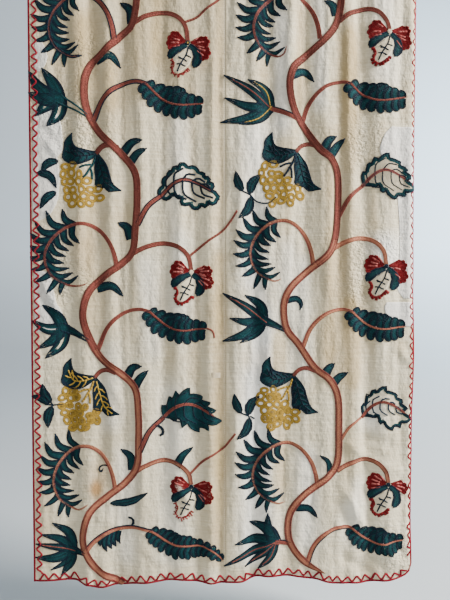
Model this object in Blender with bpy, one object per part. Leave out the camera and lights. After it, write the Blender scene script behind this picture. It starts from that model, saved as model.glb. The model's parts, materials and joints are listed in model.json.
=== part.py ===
"""Crewel embroidered hanging, modelled as it hangs from its top edge.

Two loom widths of cloth are sewn edge to edge, so each width is its own thin solid. The front
faces -Y, +X runs to the viewer's right, and the origin is the middle of the top edge. Stitches,
embroidery and mends are surface work and aren't solids here.
"""
import math

import bmesh
import bpy
import numpy as np
from mathutils import Vector

COLLECTION_NAME = "crewel_embroidery_panel"

# Driving dimensions, in metres
LEFT_WIDTH = 0.563       # flat width of the left loom width, from the seam to its selvedge
RIGHT_WIDTH = 0.556      # flat width of the right one, whose selvedge rolls back a little
DROP = 1.985             # from the top edge to the mean line of the hem
THICKNESS = 0.0015       # cloth and its embroidery together
SEAM_GAP = 0.0003        # between the two widths at the seam
CURL_STRIP = 0.026       # strip along the right selvedge that rolls towards the back
CORNER_ACROSS = 0.050    # the lower right corner is rounded over this width ...
CORNER_UP = 0.040        # ... and this height
TOP_HOLD = 0.45          # share of each fold left at the top edge, where the cloth is held
SLOPE_STEP = 0.0005      # step used to find the cloth's normal

# Mesh density
COLUMNS = 27
ROWS = 42

# Folds that run down the cloth. Widths in metres, depths in millimetres towards the viewer.
#  across at top, across at hem, half width, depth at 0, 1/4, 1/2, 3/4 and 4/4 of the drop
FOLDS = (
    (-0.520, -0.528, 0.040, 2.0, 3.0, 2.0, 5.0, 4.0),
    (-0.450, -0.455, 0.028, -2.0, -3.0, -2.0, -6.0, -4.0),
    (-0.425, -0.405, 0.024, 4.0, 8.0, 7.0, 3.0, 9.0),
    (-0.385, -0.355, 0.022, -4.0, -7.0, -7.0, -4.0, 6.0),
    (-0.335, -0.318, 0.020, 4.0, 6.0, 3.0, 4.0, -8.0),
    (-0.300, -0.285, 0.024, -3.0, -6.0, -3.0, -2.0, -3.0),
    (-0.235, -0.235, 0.028, 3.0, 5.0, 3.0, 5.0, 5.0),
    (-0.185, -0.170, 0.024, -2.0, -5.0, -4.0, -5.0, -3.0),
    (-0.130, -0.125, 0.026, 2.0, 2.0, 6.0, 6.0, 3.0),
    (-0.088, -0.080, 0.024, -2.0, -2.0, -5.0, -4.0, -4.0),
    (-0.042, -0.040, 0.020, 3.0, 4.0, 5.0, 8.0, 7.0),
    (-0.012, -0.012, 0.014, -3.0, -3.0, -4.0, -6.0, -5.0),
    (0.045, 0.040, 0.026, 2.0, 3.0, 6.0, 5.0, 3.0),
    (0.088, 0.085, 0.022, 3.0, 6.0, -4.0, -3.0, -6.0),
    (0.128, 0.130, 0.024, -4.0, -7.0, 4.0, 6.0, 5.0),
    (0.190, 0.185, 0.024, 4.0, 7.0, 3.0, -5.0, -5.0),
    (0.232, 0.240, 0.022, -4.0, -8.0, -5.0, 3.0, -2.0),
    (0.290, 0.300, 0.026, 3.0, 4.0, 7.0, 5.0, 7.0),
    (0.325, 0.345, 0.018, -2.0, -2.0, -5.0, 3.0, 4.0),
    (0.346, 0.385, 0.020, 4.0, 7.0, 6.0, 8.0, 3.0),
    (0.384, 0.425, 0.024, -4.0, -8.0, -6.0, -8.0, -5.0),
    (0.450, 0.480, 0.034, 3.0, 4.0, 4.0, 3.0, 6.0),
    (0.508, 0.520, 0.022, -2.0, -4.0, -3.0, -4.0, -4.0),
)

# Height of the hem line: across, and how far it hangs below its mean line, in metres
HEM = (
    (-0.563, 0.000),
    (-0.440, -0.002),
    (-0.400, 0.012),
    (-0.370, 0.019),
    (-0.325, 0.015),
    (-0.240, 0.007),
    (-0.140, -0.002),
    (-0.030, 0.008),
    (0.045, 0.005),
    (0.105, -0.013),
    (0.180, -0.013),
    (0.260, -0.006),
    (0.330, 0.006),
    (0.400, 0.007),
    (0.460, 0.000),
    (0.556, -0.010),
)

# Roll of the right selvedge: share of the drop, and degrees that its outer strip turns back
SELVEDGE_ROLL = (
    (0.00, 35.0),
    (0.15, 62.0),
    (0.45, 70.0),
    (0.58, 55.0),
    (0.68, 20.0),
    (0.78, 55.0),
    (0.92, 60.0),
    (1.00, 30.0),
)


def eased(table, at):
    """Value at one place of a two-column table, eased between its rows."""
    places = [row[0] for row in table]
    if at <= places[0]:
        return table[0][1]
    for low, high in zip(table, table[1:]):
        if at <= high[0]:
            share = (at - low[0]) / (high[0] - low[0])
            share = share * share * (3.0 - 2.0 * share)
            return low[1] + (high[1] - low[1]) * share
    return table[-1][1]


def fold_height(across, down):
    """How far the folds bring the cloth towards the viewer, in metres."""
    hold = TOP_HOLD + (1.0 - TOP_HOLD) * min(1.0, down / 0.12)
    height = 0.0
    for top, hem, half_width, *depths in FOLDS:
        middle = top + (hem - top) * down
        stations = [(index / 4.0, depth) for index, depth in enumerate(depths)]
        depth = eased(stations, down) / 1000.0
        height += depth * math.exp(-(((across - middle) / half_width) ** 2))
    return height * hold


def hem_drop(across):
    """Length of the cloth down to its hem, with the rounded lower right corner."""
    drop = DROP + eased(HEM, across)
    into_corner = across - (RIGHT_WIDTH - CORNER_ACROSS)
    if into_corner > 0.0:
        share = min(1.0, into_corner / CORNER_ACROSS)
        drop -= CORNER_UP * (1.0 - math.sqrt(1.0 - share * share))
    return drop


def cloth_point(across, down):
    """The cloth's front at a flat distance from the seam and a share of the drop."""
    place_x = across
    place_y = -fold_height(across, down)
    rolled = across - (RIGHT_WIDTH - CURL_STRIP)
    if rolled > 0.0:
        turn = math.radians(eased(SELVEDGE_ROLL, down))
        radius = CURL_STRIP / turn
        place_x += radius * math.sin(rolled / radius) - rolled
        place_y += radius * (1.0 - math.cos(rolled / radius))
    return Vector((place_x, place_y, -down * hem_drop(across)))


def cloth_normal(across, down):
    """Unit normal of the cloth, pointing to the back."""
    step_down = SLOPE_STEP / DROP
    along = cloth_point(across + SLOPE_STEP, down) - cloth_point(across - SLOPE_STEP, down)
    below = cloth_point(across, down + step_down) - cloth_point(across, down - step_down)
    normal = below.cross(along)
    normal.normalize()
    return normal if normal.y > 0.0 else -normal


def fabric_material(name, colour, roughness):
    """A matte cloth finish."""
    material = bpy.data.materials.new(name)
    material.use_nodes = True
    shader = material.node_tree.nodes["Principled BSDF"]
    shader.inputs["Base Color"].default_value = (*colour, 1.0)
    shader.inputs["Roughness"].default_value = roughness
    shader.inputs["Metallic"].default_value = 0.0
    return material


def cloth_width(name, from_across, to_across, material, collection):
    """One loom width: a flat grid made into a thin slab, then laid on the folds."""
    mesh_builder = bmesh.new()
    bmesh.ops.create_grid(mesh_builder, x_segments=COLUMNS, y_segments=ROWS, size=0.5)
    bmesh.ops.solidify(mesh_builder, geom=mesh_builder.faces[:], thickness=THICKNESS)
    bmesh.ops.recalc_face_normals(mesh_builder, faces=mesh_builder.faces[:])
    depths = [vertex.co.z for vertex in mesh_builder.verts]
    front = max(depths)
    for vertex in mesh_builder.verts:
        across = from_across + (vertex.co.x + 0.5) * (to_across - from_across)
        down = 0.5 - vertex.co.y
        behind = front - vertex.co.z
        vertex.co = cloth_point(across, down) + cloth_normal(across, down) * behind
    mesh = bpy.data.meshes.new(name)
    mesh_builder.to_mesh(mesh)
    mesh_builder.free()
    mesh.shade_smooth()
    mesh.set_sharp_from_angle(angle=math.radians(50.0))
    mesh.materials.append(material)
    width = bpy.data.objects.new(name, mesh)
    collection.objects.link(width)
    return width


def main():
    for old in list(bpy.data.objects):
        bpy.data.objects.remove(old, do_unlink=True)
    collection = bpy.data.collections.new(COLLECTION_NAME)
    bpy.context.scene.collection.children.link(collection)
    left_cloth = fabric_material("left_ground_cloth", (0.66, 0.60, 0.48), 0.9)
    right_cloth = fabric_material("right_ground_cloth", (0.68, 0.62, 0.50), 0.9)
    half_gap = SEAM_GAP / 2.0
    cloth_width("cloth_left", -LEFT_WIDTH, -half_gap, left_cloth, collection)
    cloth_width("cloth_right", half_gap, RIGHT_WIDTH, right_cloth, collection)


main()
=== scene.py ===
"""Crewel embroidered hanging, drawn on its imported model.

Two loom widths of plain-woven linen hang from their top edge. Wool embroidery climbs them in two
winding vines. Every stitch is a closed strand of yarn laid on the hung cloth. The front faces -Y,
+X is the viewer's right, and the origin is the middle of the top edge. Lengths are in metres,
except in the motif tables, which are in millimetres.
"""
import functools
import json
import math

import bpy
import numpy as np
from bpy.props import FloatProperty, FloatVectorProperty, IntProperty, PointerProperty
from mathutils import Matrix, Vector

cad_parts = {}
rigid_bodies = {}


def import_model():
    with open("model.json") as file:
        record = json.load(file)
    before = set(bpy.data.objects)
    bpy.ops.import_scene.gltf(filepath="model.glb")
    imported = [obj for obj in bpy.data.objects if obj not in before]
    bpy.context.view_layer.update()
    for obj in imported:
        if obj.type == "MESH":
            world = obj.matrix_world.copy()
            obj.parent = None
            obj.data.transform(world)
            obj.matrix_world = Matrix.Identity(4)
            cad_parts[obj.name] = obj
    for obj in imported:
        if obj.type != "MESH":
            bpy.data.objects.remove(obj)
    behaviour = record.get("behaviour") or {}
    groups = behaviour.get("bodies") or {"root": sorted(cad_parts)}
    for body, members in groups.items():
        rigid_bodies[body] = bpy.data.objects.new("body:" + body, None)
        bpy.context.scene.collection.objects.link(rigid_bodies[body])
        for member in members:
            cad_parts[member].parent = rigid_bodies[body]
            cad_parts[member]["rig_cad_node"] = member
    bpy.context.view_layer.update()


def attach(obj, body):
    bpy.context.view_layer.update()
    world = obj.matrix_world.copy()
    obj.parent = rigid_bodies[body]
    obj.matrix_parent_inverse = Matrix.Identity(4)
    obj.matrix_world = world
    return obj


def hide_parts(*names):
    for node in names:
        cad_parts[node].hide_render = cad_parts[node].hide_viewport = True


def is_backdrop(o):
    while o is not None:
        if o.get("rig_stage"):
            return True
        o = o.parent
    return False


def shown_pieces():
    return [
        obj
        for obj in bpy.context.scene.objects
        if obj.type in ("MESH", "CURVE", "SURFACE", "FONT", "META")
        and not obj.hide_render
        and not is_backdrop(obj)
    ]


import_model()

bl_info = {
    "name": "Crewel Embroidered Hanging",
    "version": (1, 0, 0),
    "blender": (4, 5, 0),
    "location": "View3D > Sidebar > Crewel",
    "description": "Linen hanging with wool embroidery, hung from its top edge",
    "category": "Object",
}

CLOTH_NODES = ("cloth_left", "cloth_right")
LEFT_PIECE = "ground_cloth_left"
RIGHT_PIECE = "ground_cloth_right"

# ---------------------------------------------------------------- the hung cloth's own sizes
LEFT_WIDTH = 0.563
RIGHT_WIDTH = 0.556
DROP = 1.985
SEAM_GAP = 0.0003
CURL_STRIP = 0.026
CORNER_ACROSS = 0.050
CORNER_UP = 0.040
TOP_HOLD = 0.45          # share of each fold left at the held edge
HOLD_LENGTH = 0.12       # share of the drop over which the folds open below the held edge
CREASE_EASE = 0.25       # share of a crease's length over which each end fades
PUCKER_EASE = 0.40       # the same for a pucker
PUCKER_HALF = 0.0065     # half width of a pucker
PUCKER_LENGTH = (0.022, 0.050)
PUCKER_SCATTER = 0.45    # spread of the puckers, as a share of their patch
PUCKER_SEED = 11
BAND_EASE = 0.05         # length over which each band of soil, painted shade and painted highlight fades at each end

# Folds that run down the cloth. Widths in metres, depths in millimetres towards the viewer.
#  across at top, across at hem, half width, depth at 0, 1/4, 1/2, 3/4 and 4/4 of the drop
FOLDS = (
    (-0.520, -0.528, 0.040, 2.0, 3.0, 2.0, 5.0, 4.0),
    (-0.450, -0.455, 0.028, -2.0, -3.0, -2.0, -6.0, -4.0),
    (-0.425, -0.405, 0.024, 4.0, 8.0, 7.0, 3.0, 9.0),
    (-0.385, -0.355, 0.022, -4.0, -7.0, -7.0, -4.0, 6.0),
    (-0.335, -0.318, 0.020, 4.0, 6.0, 3.0, 4.0, -8.0),
    (-0.300, -0.285, 0.024, -3.0, -6.0, -3.0, -2.0, -3.0),
    (-0.235, -0.235, 0.028, 3.0, 5.0, 3.0, 5.0, 5.0),
    (-0.185, -0.170, 0.024, -2.0, -5.0, -4.0, -5.0, -3.0),
    (-0.130, -0.125, 0.026, 2.0, 2.0, 6.0, 6.0, 3.0),
    (-0.088, -0.080, 0.024, -2.0, -2.0, -5.0, -4.0, -4.0),
    (-0.042, -0.040, 0.020, 3.0, 4.0, 5.0, 8.0, 7.0),
    (-0.012, -0.012, 0.014, -3.0, -3.0, -4.0, -6.0, -5.0),
    (0.045, 0.040, 0.026, 2.0, 3.0, 6.0, 5.0, 3.0),
    (0.088, 0.085, 0.022, 3.0, 6.0, -4.0, -3.0, -6.0),
    (0.128, 0.130, 0.024, -4.0, -7.0, 4.0, 6.0, 5.0),
    (0.190, 0.185, 0.024, 4.0, 7.0, 3.0, -5.0, -5.0),
    (0.232, 0.240, 0.022, -4.0, -8.0, -5.0, 3.0, -2.0),
    (0.290, 0.300, 0.026, 3.0, 4.0, 7.0, 5.0, 7.0),
    (0.325, 0.345, 0.018, -2.0, -2.0, -5.0, 3.0, 4.0),
    (0.346, 0.385, 0.020, 4.0, 7.0, 6.0, 8.0, 3.0),
    (0.384, 0.425, 0.024, -4.0, -8.0, -6.0, -8.0, -5.0),
    (0.450, 0.480, 0.034, 3.0, 4.0, 4.0, 3.0, 6.0),
    (0.508, 0.520, 0.022, -2.0, -4.0, -3.0, -4.0, -4.0),
)

# Height of the hem line: across, and how far it hangs below its mean line
HEM = (
    (-0.563, 0.000), (-0.440, -0.002), (-0.400, 0.012), (-0.370, 0.019), (-0.325, 0.015),
    (-0.240, 0.007), (-0.140, -0.002), (-0.030, 0.008), (0.045, 0.005), (0.105, -0.013),
    (0.180, -0.013), (0.260, -0.006), (0.330, 0.006), (0.400, 0.007), (0.460, 0.000),
    (0.556, -0.010),
)

# Roll of the right selvedge: share of the drop, and degrees that its outer strip turns back
SELVEDGE_ROLL = (
    (0.00, 35.0), (0.15, 62.0), (0.45, 70.0), (0.58, 55.0), (0.68, 20.0), (0.78, 55.0),
    (0.92, 60.0), (1.00, 30.0),
)

# Creases across the folds: from across and height, to across and height, half width
# in metres, depth in millimetres towards the viewer
CREASES = (
    (-0.045, -0.548, 0.018, -0.566, 0.006, 2.0),
    (0.340, -1.560, 0.450, -1.635, 0.013, 6.0),
    (0.385, -1.545, 0.520, -1.590, 0.012, -4.0),
    (0.420, -1.625, 0.540, -1.665, 0.014, 4.5),
    (0.345, -1.690, 0.425, -1.850, 0.012, 7.5),
    (0.325, -1.720, 0.385, -1.870, 0.014, -5.0),
    (0.395, -1.690, 0.450, -1.780, 0.012, -4.0),
    (0.440, -1.850, 0.540, -1.960, 0.013, 5.5),
    (0.470, -1.840, 0.548, -1.925, 0.010, -4.0),
    (0.420, -1.895, 0.500, -1.980, 0.012, -4.0),
    (-0.155, -1.680, -0.095, -1.760, 0.012, 5.0),
    (-0.135, -1.660, -0.075, -1.740, 0.012, -3.5),
    (-0.326, -1.396, -0.291, -1.491, 0.009, 3.0),
    (-0.205, -1.250, -0.190, -1.330, 0.009, 3.0),
    (-0.535, -1.085, -0.475, -1.205, 0.012, 6.0),
    (-0.548, -1.110, -0.495, -1.215, 0.010, -4.0),
    (-0.515, -0.690, -0.473, -0.750, 0.010, 4.0),
    (-0.545, -0.635, -0.485, -0.705, 0.011, -3.0),
    (0.396, -0.590, 0.425, -0.565, 0.006, 2.4),
    (0.180, -1.655, 0.330, -1.675, 0.008, 2.2),
    (-0.120, -0.500, -0.020, -0.478, 0.007, 1.6),
    (0.495, -1.280, 0.548, -1.345, 0.012, 5.0),
    (0.250, -1.930, 0.330, -1.965, 0.010, 3.5),
    (0.325, -1.900, 0.450, -1.968, 0.014, -6.0),
    (0.225, -1.560, 0.300, -1.640, 0.010, 2.5),
    (-0.380, -1.790, -0.300, -1.830, 0.010, 2.5),
    (-0.250, -1.880, -0.180, -1.930, 0.012, 3.0),
)

# Short puckers round the old work: middle across and height, reach across and down, count, depth mm
PUCKERS = (
    (-0.470, -0.640, 0.085, 0.100, 18, 1.3), (-0.470, -1.100, 0.070, 0.070, 14, 1.2),
    (-0.500, -1.020, 0.060, 0.080, 10, 1.0), (-0.400, -0.690, 0.070, 0.080, 14, 1.2),
    (0.400, -0.700, 0.060, 0.080, 10, 1.0), (0.430, -1.010, 0.080, 0.060, 14, 1.0),
    (0.400, -1.120, 0.060, 0.060, 12, 1.0), (-0.380, -0.440, 0.060, 0.050, 8, 0.8),
    (0.500, -1.890, 0.050, 0.060, 8, 1.2), (0.070, -1.010, 0.050, 0.060, 9, 0.8),
)

# Brown soil and painted shade along old folds, wider bands of painted shade, and painted highlights
# where the strength is below 0: from across and height, to across and height, half width, strength
SOIL_AND_PAINTED_LIGHT_BANDS = (
    (-0.405, -0.300, -0.407, -0.650, 0.024, 0.60), (-0.320, -0.420, -0.321, -0.640, 0.022, 0.50),
    (-0.250, -0.100, -0.251, -0.600, 0.022, 0.50), (-0.198, -0.100, -0.199, -0.520, 0.024, 0.55),
    (-0.117, -0.840, -0.117, -0.980, 0.024, 0.45), (-0.389, -0.830, -0.392, -1.350, 0.022, 0.55),
    (-0.016, -0.980, -0.016, -1.970, 0.026, 1.00), (-0.012, -0.050, -0.014, -1.000, 0.020, 0.60),
    (0.110, -0.200, 0.111, -0.640, 0.026, 0.75), (0.216, -0.280, 0.217, -0.640, 0.024, 0.75),
    (0.359, -0.360, 0.362, -0.800, 0.024, 0.90), (0.372, -1.130, 0.380, -1.430, 0.026, 0.95),
    (0.304, -0.650, 0.308, -1.360, 0.020, 0.60), (0.162, -1.220, 0.163, -1.780, 0.026, 0.65),
    (0.068, -1.100, 0.069, -1.380, 0.022, 0.60), (-0.092, -1.220, -0.092, -1.420, 0.020, 0.55),
    (-0.159, -1.250, -0.159, -1.380, 0.018, 0.60), (-0.365, -1.560, -0.366, -1.760, 0.026, 0.45),
    (-0.515, -1.560, -0.520, -1.960, 0.030, 0.45), (0.415, -1.090, 0.420, -1.160, 0.022, 0.55),
    (-0.280, -0.850, -0.280, -1.000, 0.020, 0.40), (0.500, -1.240, 0.530, -1.330, 0.024, 0.70),
    (0.420, -1.230, 0.425, -1.320, 0.022, 0.55), (-0.060, -1.700, -0.060, -1.960, 0.030, 0.35),
    (-0.480, -0.020, -0.480, -0.620, 0.050, 0.40), (-0.330, -0.020, -0.330, -0.720, 0.150, 0.42),
    (-0.140, -0.020, -0.140, -0.620, 0.100, 0.36), (0.300, -0.300, 0.300, -1.450, 0.100, 0.22),
    (-0.400, -0.700, -0.400, -1.300, 0.120, 0.22), (0.300, -1.180, 0.300, -1.420, 0.022, 0.45),
    (0.090, -0.620, 0.090, -0.980, 0.040, -0.85), (0.086, -0.980, 0.086, -1.960, 0.040, -0.95),
    (0.165, -0.300, 0.165, -0.700, 0.030, -0.80), (0.270, -0.080, 0.275, -0.640, 0.026, -0.75),
    (0.460, -0.080, 0.460, -0.560, 0.040, -0.60), (0.470, -0.940, 0.480, -1.120, 0.060, -0.90),
    (0.110, -1.150, 0.115, -1.900, 0.030, -0.80), (0.230, -1.000, 0.235, -1.420, 0.026, -0.60),
    (0.240, -1.560, 0.245, -1.920, 0.034, -0.60), (0.430, -1.430, 0.440, -1.560, 0.040, -0.60),
    (-0.130, -0.560, -0.130, -1.300, 0.030, -0.50), (-0.230, -1.000, -0.200, -1.350, 0.034, -0.45),
    (-0.330, -1.250, -0.330, -1.560, 0.030, -0.35), (-0.150, -1.380, -0.150, -1.960, 0.040, -0.55),
    (-0.290, -1.560, -0.290, -1.960, 0.034, -0.40), (0.380, -1.640, 0.380, -1.900, 0.034, -0.50),
    (0.355, -0.300, 0.358, -1.760, 0.030, 0.45), (0.180, -0.950, 0.180, -1.500, 0.028, -0.55),
)

# Round stains: across, height, reach across, reach down, strength
STAINS = (
    (-0.378, -1.712, 0.020, 0.030, 0.95), (-0.366, -1.690, 0.045, 0.060, 0.35),
    (-0.060, -0.480, 0.030, 0.020, 0.25), (0.520, -0.590, 0.020, 0.060, 0.30),
    (-0.420, -0.990, 0.040, 0.080, 0.20), (0.110, -1.330, 0.060, 0.050, 0.20),
)


def eased(table, at):
    """Values at some places of a two-column table, eased between its rows."""
    places, values = np.array(table, float).T
    at = np.clip(at, places[0], places[-1])
    row = np.clip(np.searchsorted(places, at, side="right") - 1, 0, len(places) - 2)
    share = (at - places[row]) / (places[row + 1] - places[row])
    share = share * share * (3.0 - 2.0 * share)
    return values[row] + (values[row + 1] - values[row]) * share


def hem_drop(across):
    """Length of the cloth down to its hem, with the rounded lower right corner."""
    drop = DROP + eased(HEM, across)
    into = np.clip((across - (RIGHT_WIDTH - CORNER_ACROSS)) / CORNER_ACROSS, 0.0, 1.0)
    return drop - CORNER_UP * (1.0 - np.sqrt(1.0 - into * into))


def along_segment(across, height, row):
    """For a table row that starts with two ends: share along, distance from, and length."""
    start = np.array(row[:2])
    run = np.array(row[2:4]) - start
    length = math.hypot(*run)
    run = run / length
    along = (across - start[0]) * run[0] + (height - start[1]) * run[1]
    away = (across - start[0]) * -run[1] + (height - start[1]) * run[0]
    return along / length, away, length


def faded(share, ease):
    """1 along the middle of a run, falling to 0 over a share of it at each end."""
    return np.clip(np.minimum(share, 1.0 - share) / ease, 0.0, 1.0)


def fold_height(across, down):
    """How far the hanging folds bring the cloth towards the viewer."""
    hold = TOP_HOLD + (1.0 - TOP_HOLD) * np.minimum(1.0, down / HOLD_LENGTH)
    height = np.zeros_like(across)
    for top, hem, half_width, *depths in FOLDS:
        middle = top + (hem - top) * down
        stations = [(index / 4.0, depth) for index, depth in enumerate(depths)]
        depth = eased(stations, down) / 1000.0
        height += depth * np.exp(-(((across - middle) / half_width) ** 2))
    return height * hold


def crease_height(across, height):
    """How far the creases and puckers lift the cloth."""
    lift = np.zeros_like(across)
    for row in CREASES:
        share, away, _ = along_segment(across, height, row)
        ends = faded(share, CREASE_EASE)
        lift += row[5] / 1000.0 * np.exp(-((away / row[4]) ** 2)) * ends * ends * (3.0 - 2.0 * ends)
    draw = np.random.default_rng(PUCKER_SEED)
    for middle, level, reach_across, reach_down, count, depth in PUCKERS:
        for _ in range(count):
            x = middle + draw.normal(0.0, PUCKER_SCATTER) * reach_across
            z = level + draw.normal(0.0, PUCKER_SCATTER) * reach_down
            turn = draw.uniform(0.0, math.pi)
            half = draw.uniform(*PUCKER_LENGTH) / 2.0
            step_x, step_z = half * math.cos(turn), half * math.sin(turn)
            share, away, _ = along_segment(across, height, (x - step_x, z - step_z, x + step_x, z + step_z))
            high = depth / 1000.0 * draw.uniform(0.5, 1.2)
            lift += high * np.exp(-((away / PUCKER_HALF) ** 2)) * faded(share, PUCKER_EASE)
    return lift


class HangingCloth:
    """The front of the hung cloth as a grid of points, and the place of anything laid on it."""

    def __init__(self, column, row):
        left_columns = round(LEFT_WIDTH / column)
        right_columns = round(RIGHT_WIDTH / column)
        self.across = np.concatenate([
            np.linspace(-LEFT_WIDTH, 0.0, left_columns + 1),
            np.linspace(0.0, RIGHT_WIDTH, right_columns + 1)[1:],
        ])
        self.seam_column = left_columns
        self.down = np.linspace(0.0, 1.0, round(DROP / row) + 1)
        across, down = np.meshgrid(self.across, self.down, indexing="ij")
        height = -down * hem_drop(across)
        self.flat = np.stack([across, height], axis=-1)
        place_x = across.copy()
        place_y = -fold_height(across, down) - crease_height(across, height)
        rolled = np.maximum(across - (RIGHT_WIDTH - CURL_STRIP), 0.0)
        radius = CURL_STRIP / np.radians(eased(SELVEDGE_ROLL, down))
        place_x += radius * np.sin(rolled / radius) - rolled
        place_y += radius * (1.0 - np.cos(rolled / radius))
        self.points = np.stack([place_x, place_y, height], axis=-1)
        outward = np.cross(np.gradient(self.points, axis=1), np.gradient(self.points, axis=0))
        outward /= np.linalg.norm(outward, axis=-1, keepdims=True)
        self.outward = outward * -np.sign(outward[..., 1:2])

    def lay(self, across, height, lift):
        """Places of flat points, with lift in front of the cloth."""
        down = np.clip(-height / hem_drop(across), 0.0, 1.0)
        column = np.interp(across, self.across, np.arange(len(self.across)))
        row = down * (len(self.down) - 1)
        c = np.minimum(column.astype(int), len(self.across) - 2)
        r = np.minimum(row.astype(int), len(self.down) - 2)
        cs = (column - c)[..., None]
        rs = (row - r)[..., None]

        def blended(grid):
            """Values of a grid between its columns and rows."""
            upper = grid[c, r] * (1.0 - cs) + grid[c + 1, r] * cs
            lower = grid[c, r + 1] * (1.0 - cs) + grid[c + 1, r + 1] * cs
            return upper * (1.0 - rs) + lower * rs

        return blended(self.points) + blended(self.outward) * np.asarray(lift)[..., None]


@functools.lru_cache(maxsize=1)
def hanging_cloth():
    """The one hung surface that every piece lies on."""
    sizes = bpy.context.scene.crewel_cloth
    return HangingCloth(sizes.column, sizes.row)


def soil_and_painted_light_of(flat):
    """How much soil and painted shade lie at flat places, up to 1, and painted highlight, down to -1."""
    across, height = flat[..., 0], flat[..., 1]
    soil = np.zeros_like(across)
    for row in SOIL_AND_PAINTED_LIGHT_BANDS:
        share, away, length = along_segment(across, height, row)
        soil += row[5] * np.exp(-((away / row[4]) ** 2)) * faded(share, BAND_EASE / length)
    return np.clip(soil, -1.0, 1.0)


def crinkle_of(flat):
    """How crinkled the cloth is round its puckers, from 0 to 1."""
    crinkle = np.zeros_like(flat[..., 0])
    for middle, level, reach_across, reach_down, _, depth in PUCKERS:
        away = np.hypot((flat[..., 0] - middle) / reach_across, (flat[..., 1] - level) / reach_down)
        crinkle += depth * np.exp(-away ** 2)
    return np.clip(crinkle, 0.0, 1.0)


def stain_of(flat):
    """How stained the cloth is at flat places, from 0 to 1."""
    across, height = flat[..., 0], flat[..., 1]
    stain = np.zeros_like(across)
    for middle, level, reach_across, reach_down, strength in STAINS:
        away = np.hypot((across - middle) / reach_across, (height - level) / reach_down)
        stain += strength * np.clip(1.25 - away, 0.0, 1.0)
    return np.clip(stain, 0.0, 1.0)


# ---------------------------------------------------------------- materials
def linear(hex_colour):
    """An sRGB hex colour as linear red, green and blue."""
    channels = [int(hex_colour[i:i + 2], 16) / 255.0 for i in (1, 3, 5)]
    return tuple(c / 12.92 if c <= 0.04045 else ((c + 0.055) / 1.055) ** 2.4 for c in channels)


def node(tree, kind, links=(), inputs=(), **settings):
    """Adds a node, sets it, and links each (input, output socket) pair."""
    made = tree.nodes.new(kind)
    for name, value in settings.items():
        setattr(made, name, value)
    for name, value in inputs:
        made.inputs[name].default_value = value
    for name, socket in links:
        tree.links.new(socket, made.inputs[name])
    return made


def new_material(name, roughness, sheen=0.0):
    """A material with its shader, ready for nodes."""
    material = bpy.data.materials.new(name)
    material.use_nodes = True
    shader = material.node_tree.nodes["Principled BSDF"]
    shader.inputs["Roughness"].default_value = roughness
    shader.inputs["Sheen Weight"].default_value = sheen
    shader.inputs["Sheen Roughness"].default_value = 0.5
    shader.inputs["IOR"].default_value = 1.5
    shader.inputs["Specular IOR Level"].default_value = 0.2
    return material, material.node_tree, shader


def mixed(tree, share, first, second):
    """Colour socket of two colours or sockets mixed by a share, which may be a socket too."""
    made = node(tree, "ShaderNodeMix", data_type="RGBA")
    # Inputs 0, 6 and 7 of a mix of colours are its share and its two colours
    for index, value in ((0, share), (6, first), (7, second)):
        if isinstance(value, bpy.types.NodeSocket):
            tree.links.new(value, made.inputs[index])
        elif index == 0:
            made.inputs[0].default_value = value
        else:
            made.inputs[index].default_value = (*value, 1.0)
    return made.outputs[2]


RIB_SCALE = 20.8333333   # a rib of uneven weft every 15 mm; single threads are too fine to show
SLUB_MM = 5.0            # thick and thin picks of handspun weft, every few threads
# Colour of the painted highlights down the folds
PAINTED_HIGHLIGHT_LINEN = linear("#F6F3EA")
STAIN = linear("#A98457")
# How deep each unevenness looks, in metres: drawn folds, crumples, crinkles, ribs of the weave
AGED_RELIEF = (0.020, 0.007, 0.016, 0.0012)
NEW_RELIEF = (0.010, 0.007, 0.016, 0.0012)


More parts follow.
